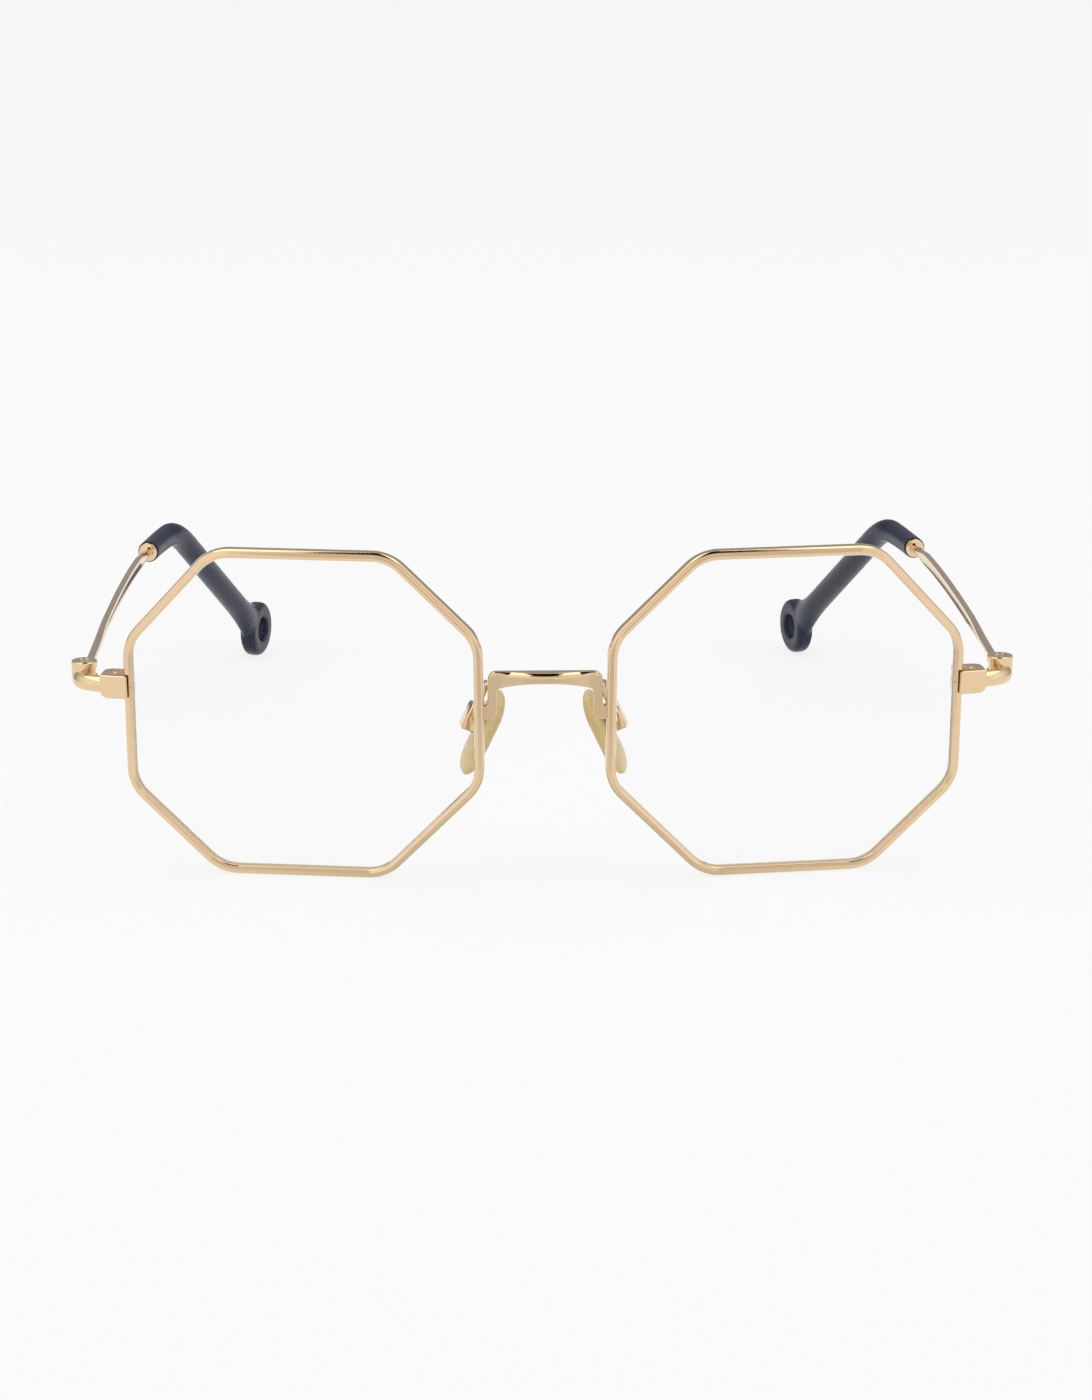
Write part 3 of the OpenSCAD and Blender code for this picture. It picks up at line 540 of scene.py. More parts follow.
def bridgeLadder():  # rungs of the left half, from foot to middle: upper point, lower point, depth
    half = rims["noseGap"] / 2 - bridge["legGap"]
    top = rimOrigin.z + bridge["rise"]
    low = top - bridge["height"]
    inner, foot, fillet = half - bridge["legWidth"], bridge["footHeight"], bridge["footFillet"]
    archHalf = half - bridge["legWidth"] / 2
    archRise = bridge["barEnd"] - bridge["barMiddle"]
    archRadius = (archHalf ** 2 + archRise ** 2) / (2 * archRise)

    def underside(x):
        return top - bridge["barMiddle"] - archRadius + math.sqrt(archRadius ** 2 - x * x)

    footRadius, steps = bridge["legWidth"] * bridge["footCurve"], bridge["legSteps"]
    thin, deep = bridge["legDepth"], bridge["barDepth"]
    reach = rims["noseGap"] / 2 + bridge["footReach"]
    rungs = [((reach, low + foot), (reach, low), thin)]
    upper = arcPoints((half + fillet, low + foot + fillet), fillet, 270, 180, steps)
    lower = arcPoints((inner + footRadius, low + footRadius), footRadius, 270, 180, steps)
    rungs += [(a, b, thin) for a, b in zip(upper, lower)]
    radius = bridge["cornerRadius"]
    legTop, legInnerTop = top - radius, underside(inner) - bridge["innerDown"]
    legShare = bridge["legShare"]
    for k in range(1, steps):
        t = k / steps
        rungs.append(((half, between(low + foot + fillet, legTop, t)),
                (inner, between(low + footRadius, legInnerTop, t)),
                between(thin, deep, legShare * ease(t))))
    steps = bridge["cornerSteps"]
    upper = arcPoints((half - radius, top - radius), radius, 0, 90, steps)
    barStart = inner - bridge["innerAcross"]
    lower = curvePoints(Vector((inner, legInnerTop)), Vector((inner, underside(inner))),
            Vector((barStart, underside(barStart))), steps, True)
    rungs += [(upper[k], lower[k], between(thin, deep, between(legShare, 1, ease(k / steps))))
            for k in range(steps + 1)]
    for k in range(1, bridge["barSteps"] + 1):
        share = 1 - k / bridge["barSteps"]
        x = barStart * share
        rungs.append((((half - radius) * share, top), (x, underside(x)), deep))
    return rungs


def buildBridge():
    shape, middle, sweep = Shape(), rims["wireDepth"] / 2, bridge["sweep"]
    turn = bridge["bow"] * sweep
    topOfLeg = rimOrigin.z + bridge["rise"] - bridge["cornerRadius"]
    half = bridgeLadder()
    rungs = half + [((-u[0], u[1]), (-l[0], l[1]), d) for u, l, d in reversed(half[:-1])]
    rings = []
    for upper, lower, depth in rungs:
        up = Vector(upper) - Vector(lower)
        length, centre = up.length, (Vector(upper) + Vector(lower)) / 2
        up.normalize()
        r = min(bridge["edge"], length * bridge["edgeShare"])
        spread = ease((abs(upper[0]) - bridge["changeStart"]) / bridge["changeLength"])
        onBar = ease((upper[1] - topOfLeg + bridge["turnLead"]) / bridge["turnLength"])
        front = min(between(r, between(*bridge["frontEdge"], spread), onBar),
                length * bridge["frontShare"])
        face = min(sweep * (math.hypot(centre.x, turn) - turn), bridge["legBack"])
        face -= bridge["barDepth"] / 2
        tall, deep = length / 2, depth / 2
        corners = [(tall, deep), (-tall, deep), (-tall, face), (tall, face)]
        radii = [between(r, bridge["backEdge"], onBar), r, min(r, length - front - 0.02), front]
        outline = roundedOutline(corners, radii, 6)
        rings.append([Vector((centre.x + up.x * s, middle + y, centre.y + up.y * s))
                for s, y in outline])
    shape.skin(rings)
    makePiece("saddleBridge", shape, "left", "front", "bright_gold", "bridge", sharp=60)


buildBridge()
print("bridge made")


screws = {
    "shank": 1.1, "head": 1.75, "headHeight": 0.4, "slot": 0.34, "proud": 0.13, "edge": 0.07,
    "shankEdge": 0.06, "seatGap": 0.03, "seatEdge": 0.05,
    "padShank": 0.9, "padHead": 1.44,
    "closingTurn": 35, "hingeTurn": 20,  # how the slots point
}
almostNone = 0.001  # radius in the middle of a turned piece's ends

sweepBack = math.radians(endPieces["sweep"])
blockX = Vector((math.cos(sweepBack), math.sin(sweepBack), 0))
blockY = Vector((-math.sin(sweepBack) * math.cos(lean), math.cos(sweepBack) * math.cos(lean),
        math.sin(lean)))
blockZ = blockX.cross(blockY)
blockPlace = placeAt(blockOrigin, blockX, blockY, blockZ)
plateBack = endPieces["plateThickness"] - endPieces["plateProud"]
closingAt = Vector((endPieces["plateLength"] * endPieces["closingShare"],
        plateBack + endPieces["blockDepth"] / 2, endPieces["plateHeight"] / 2))
slotHeight = endPieces["knuckleHeight"] + 2 * endPieces["knucklePlay"]
hingePlace = Matrix.Translation(hinge)


def discProfile(radius, low, high, edge, steps=4):  # rounded at both rims
    lower = [(radius - edge + edge * math.sin(a), low + edge - edge * math.cos(a))
            for a in quarterTurn(steps)]
    upper = [(r, high - (z - low)) for r, z in reversed(lower)]
    return [(almostNone, low)] + lower + upper + [(almostNone, high)]


def addScrew(shape, place, turn, head, shank, reach):
    # head's top at z = 0, slot along x before the turn
    place = place @ Matrix.Rotation(math.radians(turn), 4, "Z")
    height, slot, edge = screws["headHeight"], screws["slot"] / 2, screws["edge"]
    floor, shankEdge, head, shank = -height / 2, screws["shankEdge"], head / 2, shank / 2
    shape.lathe([(almostNone, -reach), (shank - shankEdge, -reach), (shank, -reach + shankEdge),
            (shank, -height), (head - edge, -height), (head, -height + edge), (head, floor),
            (almostNone, floor)], place)
    start = math.degrees(math.asin(slot / head))
    for flip in (1, -1):
        outline = [(x, y * flip) for x, y in arcPoints((0, 0), head, start, 180 - start, 20)]
        shape.prism(outline, floor - 0.05, 0, place, edge)


def buildEndPiece(hand):
    shape, e = Shape(), endPieces
    low, high, r = -e["plateHeight"] / 2, e["plateHeight"] / 2, e["plateCorner"]
    length, lap, clear = e["plateLength"], e["plateLap"], e["lapClear"]
    outline = roundedOutline([(-lap, low), (length, low), (length, high), (-lap, high)],
            [0.3, r, 0.3, 0.3], 8)
    edge, front = e["plateEdge"], -e["plateProud"]
    levels = [(edge * (1 - math.sin(t)), front + edge * (1 - math.cos(t)), -lap)
            for t in quarterTurn(4)]
    levels += [(0, -0.03, -lap), (0, 0, clear), (0, plateBack, clear)]
    shape.skin([[blockPlace @ Vector((max(x, least), y, z))
            for x, z in insetOutline(outline, inset)] for inset, y, least in levels])
    inside, back = length - e["wallThickness"], plateBack + e["blockDepth"] * e["wallShare"]
    wall = [(inside, plateBack - 0.1), (length, plateBack - 0.1), (length, back), (inside, back)]
    shape.prism(roundedOutline(wall, [0, 0, 0.15, 0.05]), low + r, high - 0.05, blockPlace, 0.1)
    start = blockPlace @ Vector((length - e["armLap"], plateBack + e["blockDepth"] * e["armShare"],
            e["armRise"]))
    end = Vector((hinge.x + e["armLap"], hinge.y - e["barrelDiameter"] / 2 + e["armSunk"], start.z))
    turn = Vector((end.x, start.y + (end.x - start.x) * math.tan(sweepBack), start.z))
    shape.wire(curvePoints(start, turn, end, 24, True), e["armDiameter"], 32)
    radius, tall, gap = e["barrelDiameter"] / 2, e["barrelHeight"] / 2, slotHeight / 2
    edge, rim = e["slotEdge"], discProfile(radius, -tall, tall, e["barrelEdge"])
    lower = [(r, z) for r, z in rim if z < -(tall + gap) / 2]
    lower += [(radius, -gap - edge), (radius - edge, -gap), (almostNone, -gap)]
    shape.lathe(lower, hingePlace, 56)
    bore, seat = screws["head"] / 2 + screws["seatGap"], tall - screws["headHeight"]
    edgeIn = screws["seatEdge"]
    upper = [(almostNone, gap), (radius - edge, gap), (radius, gap + edge)]
    upper += [(r, z) for r, z in rim[:-1] if z > (tall + gap) / 2]
    upper += [(bore + edgeIn, tall), (bore, tall - edgeIn), (bore, seat), (almostNone, seat)]
    shape.lathe(upper, hingePlace, 56)
    web = arcPoints((0, 0), radius - 0.001, *e["web"], 36)
    web += arcPoints((0, 0), e["webRadius"], *e["webInside"], 36)
    shape.prism(web, -gap - 0.05, gap + 0.05, hingePlace, 0.02, 1)
    makePiece("endPiece_{}_casting", shape, hand, "front", "bright_gold", "end_piece_{}")


def buildClosingBlock(hand):
    e, edge = endPieces, endPieces["blockEdge"]
    back = plateBack + e["blockDepth"]
    rimBack, outward = [Vector((v.dot(blockX), v.dot(blockY)))  # in the block's plan
            for v in (rimY * rims["wireDepth"], rimX)]
    front = rimBack * (plateBack / rimBack.y)
    lap = rimBack - outward * ((e["blockLap"] + rimBack.x) / outward.x)
    split, tall = rims["splitGap"] / 2, e["plateHeight"] / 2
    halves = [("upper", e["plateLength"] - e["lapClear"], split, tall),
            ("lower", e["plateLength"] - e["plateCorner"], -tall, -split)]
    for half, length, low, high in halves:
        shape, r = Shape(), min(e["blockCorner"], length / 2)
        corners = [lap, rimBack, front, (length, plateBack), (length, back), (-e["blockLap"], back)]
        outline = roundedOutline(corners, [0.15, 0, 0, 0, r, 0.3], 8)
        shape.prism(outline, low, high, blockPlace, edge)
        makePiece("closingBlock_" + half + "_{}", shape, hand, "front", "wire_gold",
                "closing_block_" + half + "_{}")
    shape = Shape()
    place = blockPlace @ Matrix.Translation(closingAt + Vector((0, 0, screws["proud"])))
    addScrew(shape, place, screws["closingTurn"], screws["head"], screws["shank"],
            e["plateHeight"] - 0.2)
    makePiece("closingScrew_{}", shape, hand, "front", "screw_gold", "closing_screw_{}")


def buildHingeScrew(hand):
    shape, tall = Shape(), endPieces["barrelHeight"]
    place = hingePlace @ Matrix.Translation((0, 0, tall / 2))
    addScrew(shape, place, screws["hingeTurn"], screws["head"], screws["shank"], tall - 0.1)
    makePiece("hingeScrew_{}", shape, hand, "front", "screw_gold", "hinge_screw_{}")


for hand in sides:
    buildEndPiece(hand)
    buildClosingBlock(hand)
    buildHingeScrew(hand)
print("end pieces, closing blocks and screws made")


pads = {
    "length": 13.6, "width": 7.2, "thickness": 1.8, "corner": 3.0,
    "bulge": 0.4,  # the face bulges to the nose
    # how full its section is, 1 is elliptic
    "edgePower": 0.42, "facePower": 0.85, "bulgePower": 0.5,
    "drop": 4.4, "back": 10.5, "tilt": 25.5, "splay": 10.0,
    "boxHeight": 4.2, "boxThickness": 2.1, "boxWidth": 2.6, "boxWall": 0.4,
    "boxRise": 1.7, "boxGap": 0.6,
    "boxCorner": 0.45, "boxEdge": 0.12, "boxInnerCorner": 0.1, "boxInnerEdge": 0.06,
    "lug": 1.6, "lugPlay": 0.1, "neckShare": 0.35, "neckSunk": 0.3,
    "flange": 3.0, "flangeThickness": 0.6, "flangeSunk": 0.12,
    "armWire": 0.9, "armJoint": 1.15, "armFootRise": 2.4, "armFootShare": 0.42,
    "armKnee": 1.3, "armKneeShare": 0.4, "armCrown": 1.6, "armCrownIn": 0.3, "armLead": 0.8,
    "armSunk": 0.2, "armStraight": 0.4, "jointReach": (-0.1, 0.12, 0.3),  # behind the rim
    "steps": 18,
}
tilt, splay = math.radians(pads["tilt"]), math.radians(pads["splay"])
padUp = Vector((-math.sin(tilt), 0, math.cos(tilt)))
padFace = Vector((-math.cos(tilt), 0, -math.sin(tilt))) * math.cos(splay)
padFace.y = math.sin(splay)
padFront = padUp.cross(padFace)
padPlace = placeAt(Vector((rims["noseGap"] / 2, pads["back"], rimOrigin.z - pads["drop"])),
        padFace, padFront, padUp)
boxFront = -pads["thickness"] / 2 - pads["boxGap"]
boxBack = boxFront - pads["boxThickness"]
pivotX = boxFront - (pads["boxThickness"] - pads["boxWall"]) / 2


def buildPad(hand):
    shape, half = Shape(), pads["thickness"] / 2
    w, l = pads["width"] / 2, pads["length"] / 2
    outline = roundedOutline([(w, l), (-w, l), (-w, -l), (w, -l)], [pads["corner"]] * 4, 10)
    rings = []
    for k in range(pads["steps"] + 1):  # from the middle of the back, round the edge, to the face
        a = math.pi * k / pads["steps"] - math.pi / 2
        reach = max(0.02, math.cos(a)) ** pads["edgePower"]
        depth = math.copysign(abs(math.sin(a)) ** pads["facePower"], math.sin(a)) * half
        bulge = pads["bulge"] * max(0, math.sin(a)) ** pads["bulgePower"]
        rings.append([padPlace @ Vector((depth + bulge * (1 - (z / l) ** 2), y, z))
                for y, z in [(y * reach, z * reach) for y, z in outline]])
    shape.skin(rings)
    makePiece("nosePad_{}_silicone", shape, hand, "pad_{}", "soft_pad", "nose_pad_{}", sharp=80)


def buildPadCore(hand):
    shape = Shape()
    pivot = padPlace @ Vector((pivotX, 0, pads["boxRise"]))
    across = placeAt(pivot, padFace, padUp, -padFront)
    lugHalf = pads["boxWidth"] / 2 - pads["boxWall"] - pads["lugPlay"]
    shape.lathe(discProfile(pads["lug"] / 2, -lugHalf, lugHalf, 0.12), across, 32)
    neck = pads["lug"] * pads["neckShare"]
    shape.prism([(-lugHalf, -neck), (lugHalf, -neck), (lugHalf, neck), (-lugHalf, neck)], 0,
            -pads["thickness"] / 2 + pads["neckSunk"] - pivotX,
            placeAt(pivot, padFront, padUp, padFace), 0.08)
    flangePlace = placeAt(padPlace @ Vector((-pads["thickness"] / 2, 0, pads["boxRise"])),
            padFront, padUp, padFace)
    shape.lathe(discProfile(pads["flange"] / 2, -pads["flangeSunk"], pads["flangeThickness"], 0.1),
            flangePlace, 40)
    makePiece("padCore_{}", shape, hand, "pad_{}", "pad_core", "pad_insert_{}")


def buildPadBox(hand):
    shape, wall = Shape(), pads["boxWall"]
    w, h = pads["boxWidth"] / 2, pads["boxHeight"] / 2
    place = placeAt(padPlace @ Vector((boxBack, 0, pads["boxRise"])), padFront, padUp, padFace)
    outline, inner = [roundedOutline([(x, y), (-x, y), (-x, -y), (x, -y)], [corner] * 4, 6)
            for x, y, corner in [(w, h, pads["boxCorner"]),
            (w - wall, h - wall, pads["boxInnerCorner"])]]
    deep, edge, innerEdge = pads["boxThickness"], pads["boxEdge"], pads["boxInnerEdge"]
    levels = [(insetOutline(outline, 2 * edge * (1 - math.sin(t))), 2 * edge * (1 - math.cos(t)))
            for t in quarterTurn(4)]
    levels += [(insetOutline(outline, edge * (1 - math.cos(t))), deep - edge + edge * math.sin(t))
            for t in quarterTurn(4)]
    levels += [(insetOutline(inner, -innerEdge), deep), (inner, deep - innerEdge), (inner, wall)]
    shape.skin([[place @ Vector((x, y, z)) for x, y in ring] for ring, z in levels])
    makePiece("padBox_{}", shape, hand, "front", "bright_gold", "pad_box_{}")
    shape = Shape()
    height = screws["headHeight"]
    head = placeAt(padPlace @ Vector((pivotX, pads["boxWidth"] / 2 + height, pads["boxRise"])),
            padUp, padFace, padFront)
    addScrew(shape, head, 0, screws["padHead"], screws["padShank"], pads["boxWidth"] + 2 * height)
    makePiece("padScrew_{}", shape, hand, "front", "screw_gold", "pad_screw_{}")


def buildPadArm(hand):
    shape = Shape()
    foot = rimPlace @ Vector((-rims["width"] / 2 + rims["wireWidth"] * pads["armFootShare"],
            rims["wireDepth"], pads["armFootRise"]))
    seat = padPlace @ Vector((boxBack + pads["boxThickness"] / 2, 0,
            pads["boxRise"] + pads["boxHeight"] / 2))
    crown = Vector((foot.x - pads["armCrownIn"], (foot.y + seat.y) / 2, foot.z + pads["armCrown"]))
    knee = foot + Vector((-0.1, pads["armKnee"], pads["armCrown"] * pads["armKneeShare"]))
    lead = seat + padUp * pads["armLead"]
    over = lead + padUp * ((crown.z - lead.z) / padUp.z)
    path = [foot - rimY * pads["armSunk"]]
    path += curvePoints(foot + rimY * pads["armStraight"],
            Vector((foot.x, knee.y, foot.z)), knee, 10)
    path += curvePoints(knee, Vector((knee.x, knee.y, crown.z)), crown, 12)
    path += curvePoints(crown, over, lead, 16, True) + [seat - padUp * 0.1]
    shape.wire(path, pads["armWire"], 20)
    shape.wire([foot + rimY * reach for reach in pads["jointReach"]], pads["armJoint"], 20)
    makePiece("padArm_{}", shape, hand, "front", "wire_gold", "pad_arm_{}")


for hand in sides:
    buildPad(hand)
    buildPadCore(hand)
    buildPadBox(hand)
    buildPadArm(hand)
print("nose pads made")


temples = {
    "length": 80.0, "inward": 4.95, "mouthDrop": 0.15, "bow": 0.78, "bowInward": 0.48,
    "wire": 1.45, "flatWidth": 1.15, "flatHeight": 2.15,
    "flatStart": 0.1, "flatEnd": 0.92, "flatRun": 0.14,  # shares of its length
    "offset": 0.35, "barrelGap": 0.15, "tongueEnd": 0.4, "tongueShare": 0.4, "inTip": 1.5,
}
tips = {
    "bendLength": 15.0, "inward": 3.65, "bendRise": 0.3, "dropLength": 34.3, "dropInward": 12.2,
    "turnShare": 0.61, "bendRun": 6.0,  # how softly it bends
    "mouth": 3.55, "thick": 3.9, "thickenSteps": 24,
    "disc": 9.5, "discThickness": 2.8, "discEdge": 0.9, "hole": 4.2, "holeEdge": 0.2,
    "neck": 9.0, "neckShare": 0.34, "flarePower": 2.2,
    "ticks": 40, "tickInner": 2.85, "tickOuter": 3.35, "tickWidth": 0.12, "tickLonger": 0.2,
    "voxel": 0.16, "relax": 26,
}
ferrules = {
    "cap": 3.05, "capLength": 1.2, "capStands": 0.13,
    "collar": 1.95, "collarLength": 1.0, "bore": 1.4,
}
wireStart = hinge + Vector((-temples["offset"],
        endPieces["barrelDiameter"] / 2 + temples["barrelGap"], 0))
mouth = hinge + Vector((-temples["inward"], temples["length"], -temples["mouthDrop"]))
bowPoint = wireStart + Vector(((mouth.x - wireStart.x) * temples["bow"] * temples["bowInward"],
        (mouth.y - wireStart.y) * temples["bow"], 0))
mouthWay = (mouth - bowPoint).normalized()
tipBend = mouth + Vector((-tips["inward"], tips["bendLength"], tips["bendRise"]))
discMiddle = Vector((tipBend.x - tips["dropInward"], tipBend.y + tips["dropLength"],
        tips["disc"] / 2))
dropWay = (discMiddle - tipBend).normalized()
turnIn = mouth + mouthWay * tips["bendLength"] * tips["turnShare"]
bendStart, bendEnd = (turnIn + tipBend) / 2, tipBend + dropWay * tips["bendRun"]
templeLine = curvePoints(wireStart, bowPoint, mouth, 60)
tipLine = curvePoints(mouth, turnIn, bendStart, 16)
tipLine += curvePoints(bendStart, tipBend, bendEnd, 28, True)
discAcross = Vector((dropWay.y, -dropWay.x, 0)).normalized()
discPlace = placeAt(discMiddle, Vector((0, 0, 1)), discAcross.cross(Vector((0, 0, 1))), discAcross)
mouthSide = mouthWay.cross(Vector((0, 0, 1))).normalized()
mouthPlace = placeAt(mouth, mouthSide, mouthWay.cross(mouthSide), mouthWay)


def flatness(share):  # 1 where the wire is rolled flat, 0 where it is round
    start, end, run = temples["flatStart"], temples["flatEnd"], temples["flatRun"]
    return ease((share - start) / run) * ease((end - share) / run)


def buildTemple(hand):
    shape, t = Shape(), temples
    path = templeLine + [mouth, mouth + mouthWay * t["inTip"]]
    flat = [flatness(i / len(templeLine)) for i in range(len(templeLine))] + [0, 0]
    shape.sweep(path, [between(t["wire"], t["flatWidth"], f) / 2 for f in flat],
            [between(t["wire"], t["flatHeight"], f) / 2 for f in flat],
            [1 - 0.5 * f for f in flat], 32)
    high, radius = endPieces["knuckleHeight"] / 2, endPieces["knuckleDiameter"] / 2
    shape.lathe(discProfile(radius, -high, high, 0.08), hingePlace, 48)
    w, end = t["wire"] * t["tongueShare"], endPieces["barrelDiameter"] / 2 + t["tongueEnd"]
    near, far = -t["offset"] - w, -t["offset"] + w
    tongue = roundedOutline([(near, 0), (far, 0), (far, end), (near, end)], [0, 0, 0.2, 0.2])
    shape.prism(tongue, -high, high, hingePlace, 0.08)
    makePiece("templeWire_{}", shape, hand, "temple_{}", "wire_gold", "temple_{}")


def buildFerrule(hand):
    shape, f = Shape(), ferrules
    bore, cap, collar = f["bore"] / 2, f["cap"] / 2, f["collar"] / 2
    lip, face, deep = -f["collarLength"], -f["capStands"], f["capLength"]
    profile = [(bore, lip - 0.1), (collar - 0.2, lip - 0.1), (collar - 0.1, lip - 0.02),
            (collar - 0.1, face - 0.12), (collar - 0.06, face - 0.02), (collar, face),
            (cap - 0.04, face), (cap, face + 0.04), (cap, deep), (bore, deep)]
    shape.lathe(profile, mouthPlace, 48)
    makePiece("ferrule_{}_cap", shape, hand, "temple_{}", "bright_gold", "ferrule_{}")


def buildTip(hand):
    shape, t = Shape(), tips
    inset, steps = t["disc"] * t["neckShare"], 24
    flareStart = discMiddle - dropWay * (inset + t["neck"])
    neck = [flareStart + dropWay * t["neck"] * i / steps for i in range(steps + 1)]
    path = tipLine + neck
    wide = 2 * math.sqrt(t["disc"] ** 2 / 4 - inset * inset) - 0.1
    flare = [0] * len(tipLine) + [(i / steps) ** t["flarePower"] for i in range(steps + 1)]
    thick = [between(t["mouth"], t["thick"], min(1, i / t["thickenSteps"]))
            for i in range(len(path))]
    shape.sweep(path, [between(d, t["discThickness"] - 0.05, f) / 2 for d, f in zip(thick, flare)],
            [between(d, wide, f) / 2 for d, f in zip(thick, flare)], sides=48)
    hole, outer, high = t["hole"] / 2, t["disc"] / 2, t["discThickness"] / 2
    edge, small = t["discEdge"], t["holeEdge"]
    profile = arcPoints((outer - edge, high - edge), edge, 0, 90, 8)
    profile += arcPoints((hole + small, high - small), small, 90, 180, 4)
    profile += arcPoints((hole + small, small - high), small, 180, 270, 4)
    profile += arcPoints((outer - edge, edge - high), edge, 270, 360, 8)
    shape.ringLathe(profile, discPlace, 96)
    tip = makePiece("acetateTip_{}", shape, hand, "temple_{}", "navy_acetate", "tip_{}")
    meltTogether(tip, t["voxel"], t["relax"])
    shape = Shape()
    for k in range(t["ticks"]):  # plain ticks round the hole, longer at every fifth
        turn = Matrix.Rotation(2 * math.pi * k / t["ticks"], 4, "Z")
        inner = t["tickInner"] - (t["tickLonger"] if k % 5 == 0 else 0)
        w, outer = t["tickWidth"] / 2, t["tickOuter"]
        shape.prism([(inner, -w), (outer, -w), (outer, w), (inner, w)], -high - 0.02, -high + 0.1,
                discPlace @ turn, 0.02, 1)
    makePiece("tipTicks_{}", shape, hand, "temple_{}", "navy_acetate", None, giltFoil)


for hand in sides:
    buildTemple(hand)
    buildFerrule(hand)
    buildTip(hand)
print("temples, ferrules and tips made")


studio = {
    "azimuth": -1.35, "elevation": 14.65, "distance": 0.705, "target": (0.0001, -0.073543, 0.0287),
    "focal": 4780 / 1400 * 36,
    "background": "#F9F9F9", "floorGlow": 0.86, "floorShade": 0.13, "floorReach": 6,
    "worldLight": 0.7,
}
# painted shade on the floor as metal sees it, in ovals: stretch, middle, and brightness at two
# distances
paintedShadePools = [
    ((1.5, 1, 1), (0, -0.2, 0), ((0.06, 0.72), (0.13, 1.0))),
    ((0.6, 1, 1), (0, -0.06, 0), ((0.0, 0.62), (0.04, 1.06))),
]


def whitePaper(name):  # it glows a little by itself, and the lamps add the rest and the shadow
    material, tree = newMaterial(name)
    path = addNode(tree, "LightPath")
    grain = addNode(tree, "TexNoise", {"Scale": 1000 / 2.0, "Detail": 2.0})
    tones = addNode(tree, "Mix", {"data_type": "RGBA", 6: linearColour("#E2E2E2"),
            7: linearColour("#E6E6E6")}, {0: grain.outputs["Fac"]})
    paper = addNode(tree, "BsdfDiffuse", {}, {"Color": tones.outputs[2]})
    glow = addNode(tree, "Emission", {"Color": linearColour(studio["background"]),
            "Strength": studio["floorGlow"]})
    faint = addNode(tree, "BsdfDiffuse", {"Color": (studio["floorShade"],) * 3 + (1,)})
    seen = addNode(tree, "AddShader", {}, {0: glow.outputs["Emission"], 1: faint.outputs["BSDF"]})
    # metal sees the same paper with painted shade, dimmer where the camera stands and towards the
    # room
    where = addNode(tree, "NewGeometry")
    levels = []
    for stretch, middle, ((near, first), (far, second)) in paintedShadePools:
        oval = addNode(tree, "VectorMath", {"operation": "MULTIPLY", 1: stretch},
                {0: where.outputs["Position"]})
        reach = addNode(tree, "VectorMath", {"operation": "DISTANCE", 1: middle},
                {0: oval.outputs["Vector"]})
        level = addNode(tree, "MapRange", {"interpolation_type": "SMOOTHSTEP",
                "From Min": near, "From Max": far, "To Min": first, "To Max": second},
                {"Value": reach.outputs["Value"]})
        levels.append(level.outputs["Result"])
    # painted shade: the two ovals together, which only the metal mirrors
    paintedFloorShade = addNode(tree, "Math", {"operation": "MULTIPLY"}, {0: levels[0], 1: levels[1]})
    mirrored = addNode(tree, "Emission", {"Color": linearColour("#FFFFFF")},
            {"Strength": paintedFloorShade.outputs[0]})
    direct = addNode(tree, "Math", {"operation": "MAXIMUM"},
            {0: path.outputs["Is Camera Ray"], 1: path.outputs["Is Transmission Ray"]})
    either = addNode(tree, "MixShader", {}, {0: path.outputs["Is Glossy Ray"],
            1: paper.outputs["BSDF"], 2: mirrored.outputs["Emission"]})
    final = addNode(tree, "MixShader", {}, {0: direct.outputs[0], 1: either.outputs["Shader"],
            2: seen.outputs["Shader"]})
    addNode(tree, "OutputMaterial", {}, {"Surface": final.outputs["Shader"]})
    return material


def addSheet(name, corners, material):  # a flat square of the studio
    mesh = bpy.data.meshes.new(name)
    mesh.from_pydata(corners, [], [(0, 1, 2, 3)])
    mesh.materials.append(material)
    sheet = addObject(name, mesh)
    return sheet


wide = studio["floorReach"]
addSheet("floor", [(-wide, -wide, 0), (wide, -wide, 0), (wide, wide, 0), (-wide, wide, 0)],
        whitePaper("whitePaperPaintedShade"))

world = bpy.data.worlds.new("softStudio")
bpy.context.scene.world = world
world.use_nodes = True
worldTree = world.node_tree
worldTree.nodes.clear()
worldPath = addNode(worldTree, "LightPath")
# the room that metal mirrors: dim behind, bright above
worldWay = addNode(worldTree, "TexCoord")
towards = addNode(worldTree, "VectorMath", {"operation": "DOT_PRODUCT", 1: (0, -0.8, 0.6)},
        {0: worldWay.outputs["Generated"]})
share = addNode(worldTree, "MapRange", {"From Min": -0.8, "From Max": 1.0},
        {"Value": towards.outputs["Value"]})
ramp = addNode(worldTree, "ValToRGB", {}, {"Fac": share.outputs["Result"]})
stops = [  # place on the ramp, level, and how much bluer
    (0.0, 0.36, 1.05), (0.18, 0.42, 1.05), (0.3, 0.5, 1.05), (0.444, 0.75, 1.03),
    (0.6, 1.0, 1.0), (0.75, 1.18, 1.0), (1.0, 1.1, 1.0),
]
while len(ramp.color_ramp.elements) < len(stops):
    ramp.color_ramp.elements.new(0.5)
for element, (position, level, cool) in zip(ramp.color_ramp.elements, stops):
    element.position, element.color = position, (level, level, level * cool, 1)
lightRoom = addNode(worldTree, "Background", {"Color": (1, 1, 1, 1),
        "Strength": studio["worldLight"]})
mirrorRoom = addNode(worldTree, "Background", {}, {"Color": ramp.outputs["Color"]})
whiteRoom = addNode(worldTree, "Background", {"Color": linearColour(studio["background"])})
roomSeen = addNode(worldTree, "Math", {"operation": "MAXIMUM"},
        {0: worldPath.outputs["Is Camera Ray"], 1: worldPath.outputs["Is Transmission Ray"]})
litRoom = addNode(worldTree, "MixShader", {}, {0: worldPath.outputs["Is Glossy Ray"],
        1: lightRoom.outputs["Background"], 2: mirrorRoom.outputs["Background"]})
room = addNode(worldTree, "MixShader", {}, {0: roomSeen.outputs[0],
        1: litRoom.outputs["Shader"], 2: whiteRoom.outputs["Background"]})
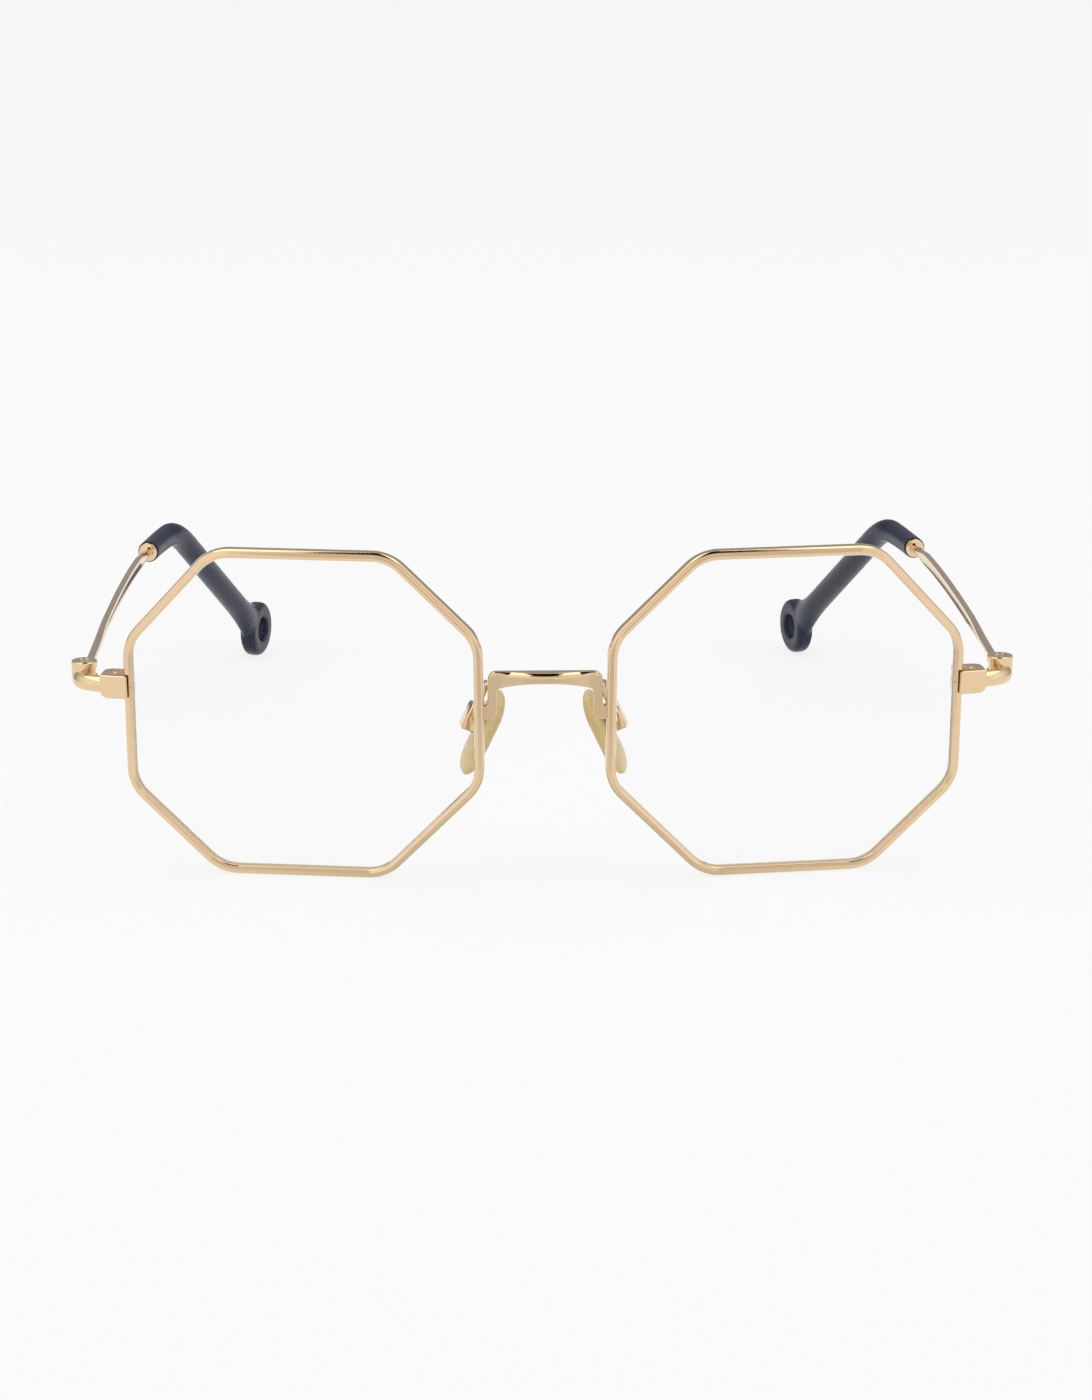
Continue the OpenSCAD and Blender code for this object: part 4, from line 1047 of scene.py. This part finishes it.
addNode(worldTree, "OutputWorld", {}, {"Surface": room.outputs["Shader"]})

# painted reflections: the dark cards paint dark streaks and the bright ones painted highlights into
# the metal
# cards that the metal alone sees: two edges, each left, right, depth and height, and brightness
mirroredCards = {
    "darkWall": ((-0.36, 0.44, -1, 0.62), (-0.40, 0.48, -1, 1.2), 0.01),
    "darkTop": ((-0.40, 0.47, -1, 1.2), (-0.09, 0.13, 0.6, 1.2), 0.01),
    "frontCloth": ((-0.36, 0.44, -1, 0.05), (-0.36, 0.44, -1, 0.62), 0.8),
    "leftWindow": ((-1.0, -0.36, -1, 0.1), (-1.0, -0.40, -1, 1.2), 1.2),
    "rightWindow": ((0.44, 1.0, -1, 0.1), (0.48, 1.0, -1, 1.2), 1.0),
    "leftTop": ((-1.0, -0.41, -1, 1.2), (-0.8, -0.1, 0.6, 1.2), 2.2),
    "rightTop": ((0.48, 1.0, -1, 1.2), (0.14, 0.8, 0.6, 1.2), 2.2),
}
for name, ((a, b, y, z), (c, d, farY, farZ), level) in mirroredCards.items():
    cardMaterial, cardTree = newMaterial(name + "Cloth")
    # a glow that only the metal sees, a painted reflection
    paintedReflection = addNode(cardTree, "Emission", {"Color": linearColour("#FFFAF2"), "Strength": level})
    addNode(cardTree, "OutputMaterial", {}, {"Surface": paintedReflection.outputs["Emission"]})
    card = addSheet(name, [(a, y, z), (b, y, z), (d, farY, farZ), (c, farY, farZ)], cardMaterial)
    card.visible_camera = card.visible_diffuse = False
    card.visible_transmission = card.visible_shadow = False

lamps = {  # place, aim, width, height, power in watts
    "topSoftbox": ((0, 0.0, 0.9), (0, 0, 0), 1.6, 1.2, 4.2),
    "leftSoftbox": ((-0.9, -0.6, 0.5), (0, -0.03, 0.02), 0.9, 0.7, 1.8),
    "rightSoftbox": ((0.9, -0.6, 0.5), (0, -0.03, 0.02), 0.9, 0.7, 1.8),
}
for name, (place, aim, width, height, power) in lamps.items():
    lamp = bpy.data.lights.new(name, "AREA")
    lamp.shape = "RECTANGLE"
    lamp.size, lamp.size_y, lamp.energy = width, height, power
    lampObject = addObject(name, lamp)
    lampObject.location = place
    lampObject.rotation_euler = (Vector(aim) - Vector(place)).to_track_quat("-Z", "Y").to_euler()
    lampObject.visible_glossy = False

azimuth, elevation = math.radians(studio["azimuth"]), math.radians(studio["elevation"])
back = Vector((math.sin(azimuth) * math.cos(elevation), -math.cos(azimuth) * math.cos(elevation),
        math.sin(elevation)))
cameraData = bpy.data.cameras.new("camera")
cameraData.lens = studio["focal"]
cameraData.sensor_width = 36
cameraData.clip_start = 0.01
camera = addObject("camera", cameraData)
camera.location = Vector(studio["target"]) + back * studio["distance"]
camera.rotation_euler = (-back).to_track_quat("-Z", "Y").to_euler()
bpy.context.scene.camera = camera
bpy.context.scene.view_settings.view_transform = "Standard"
print("studio made")
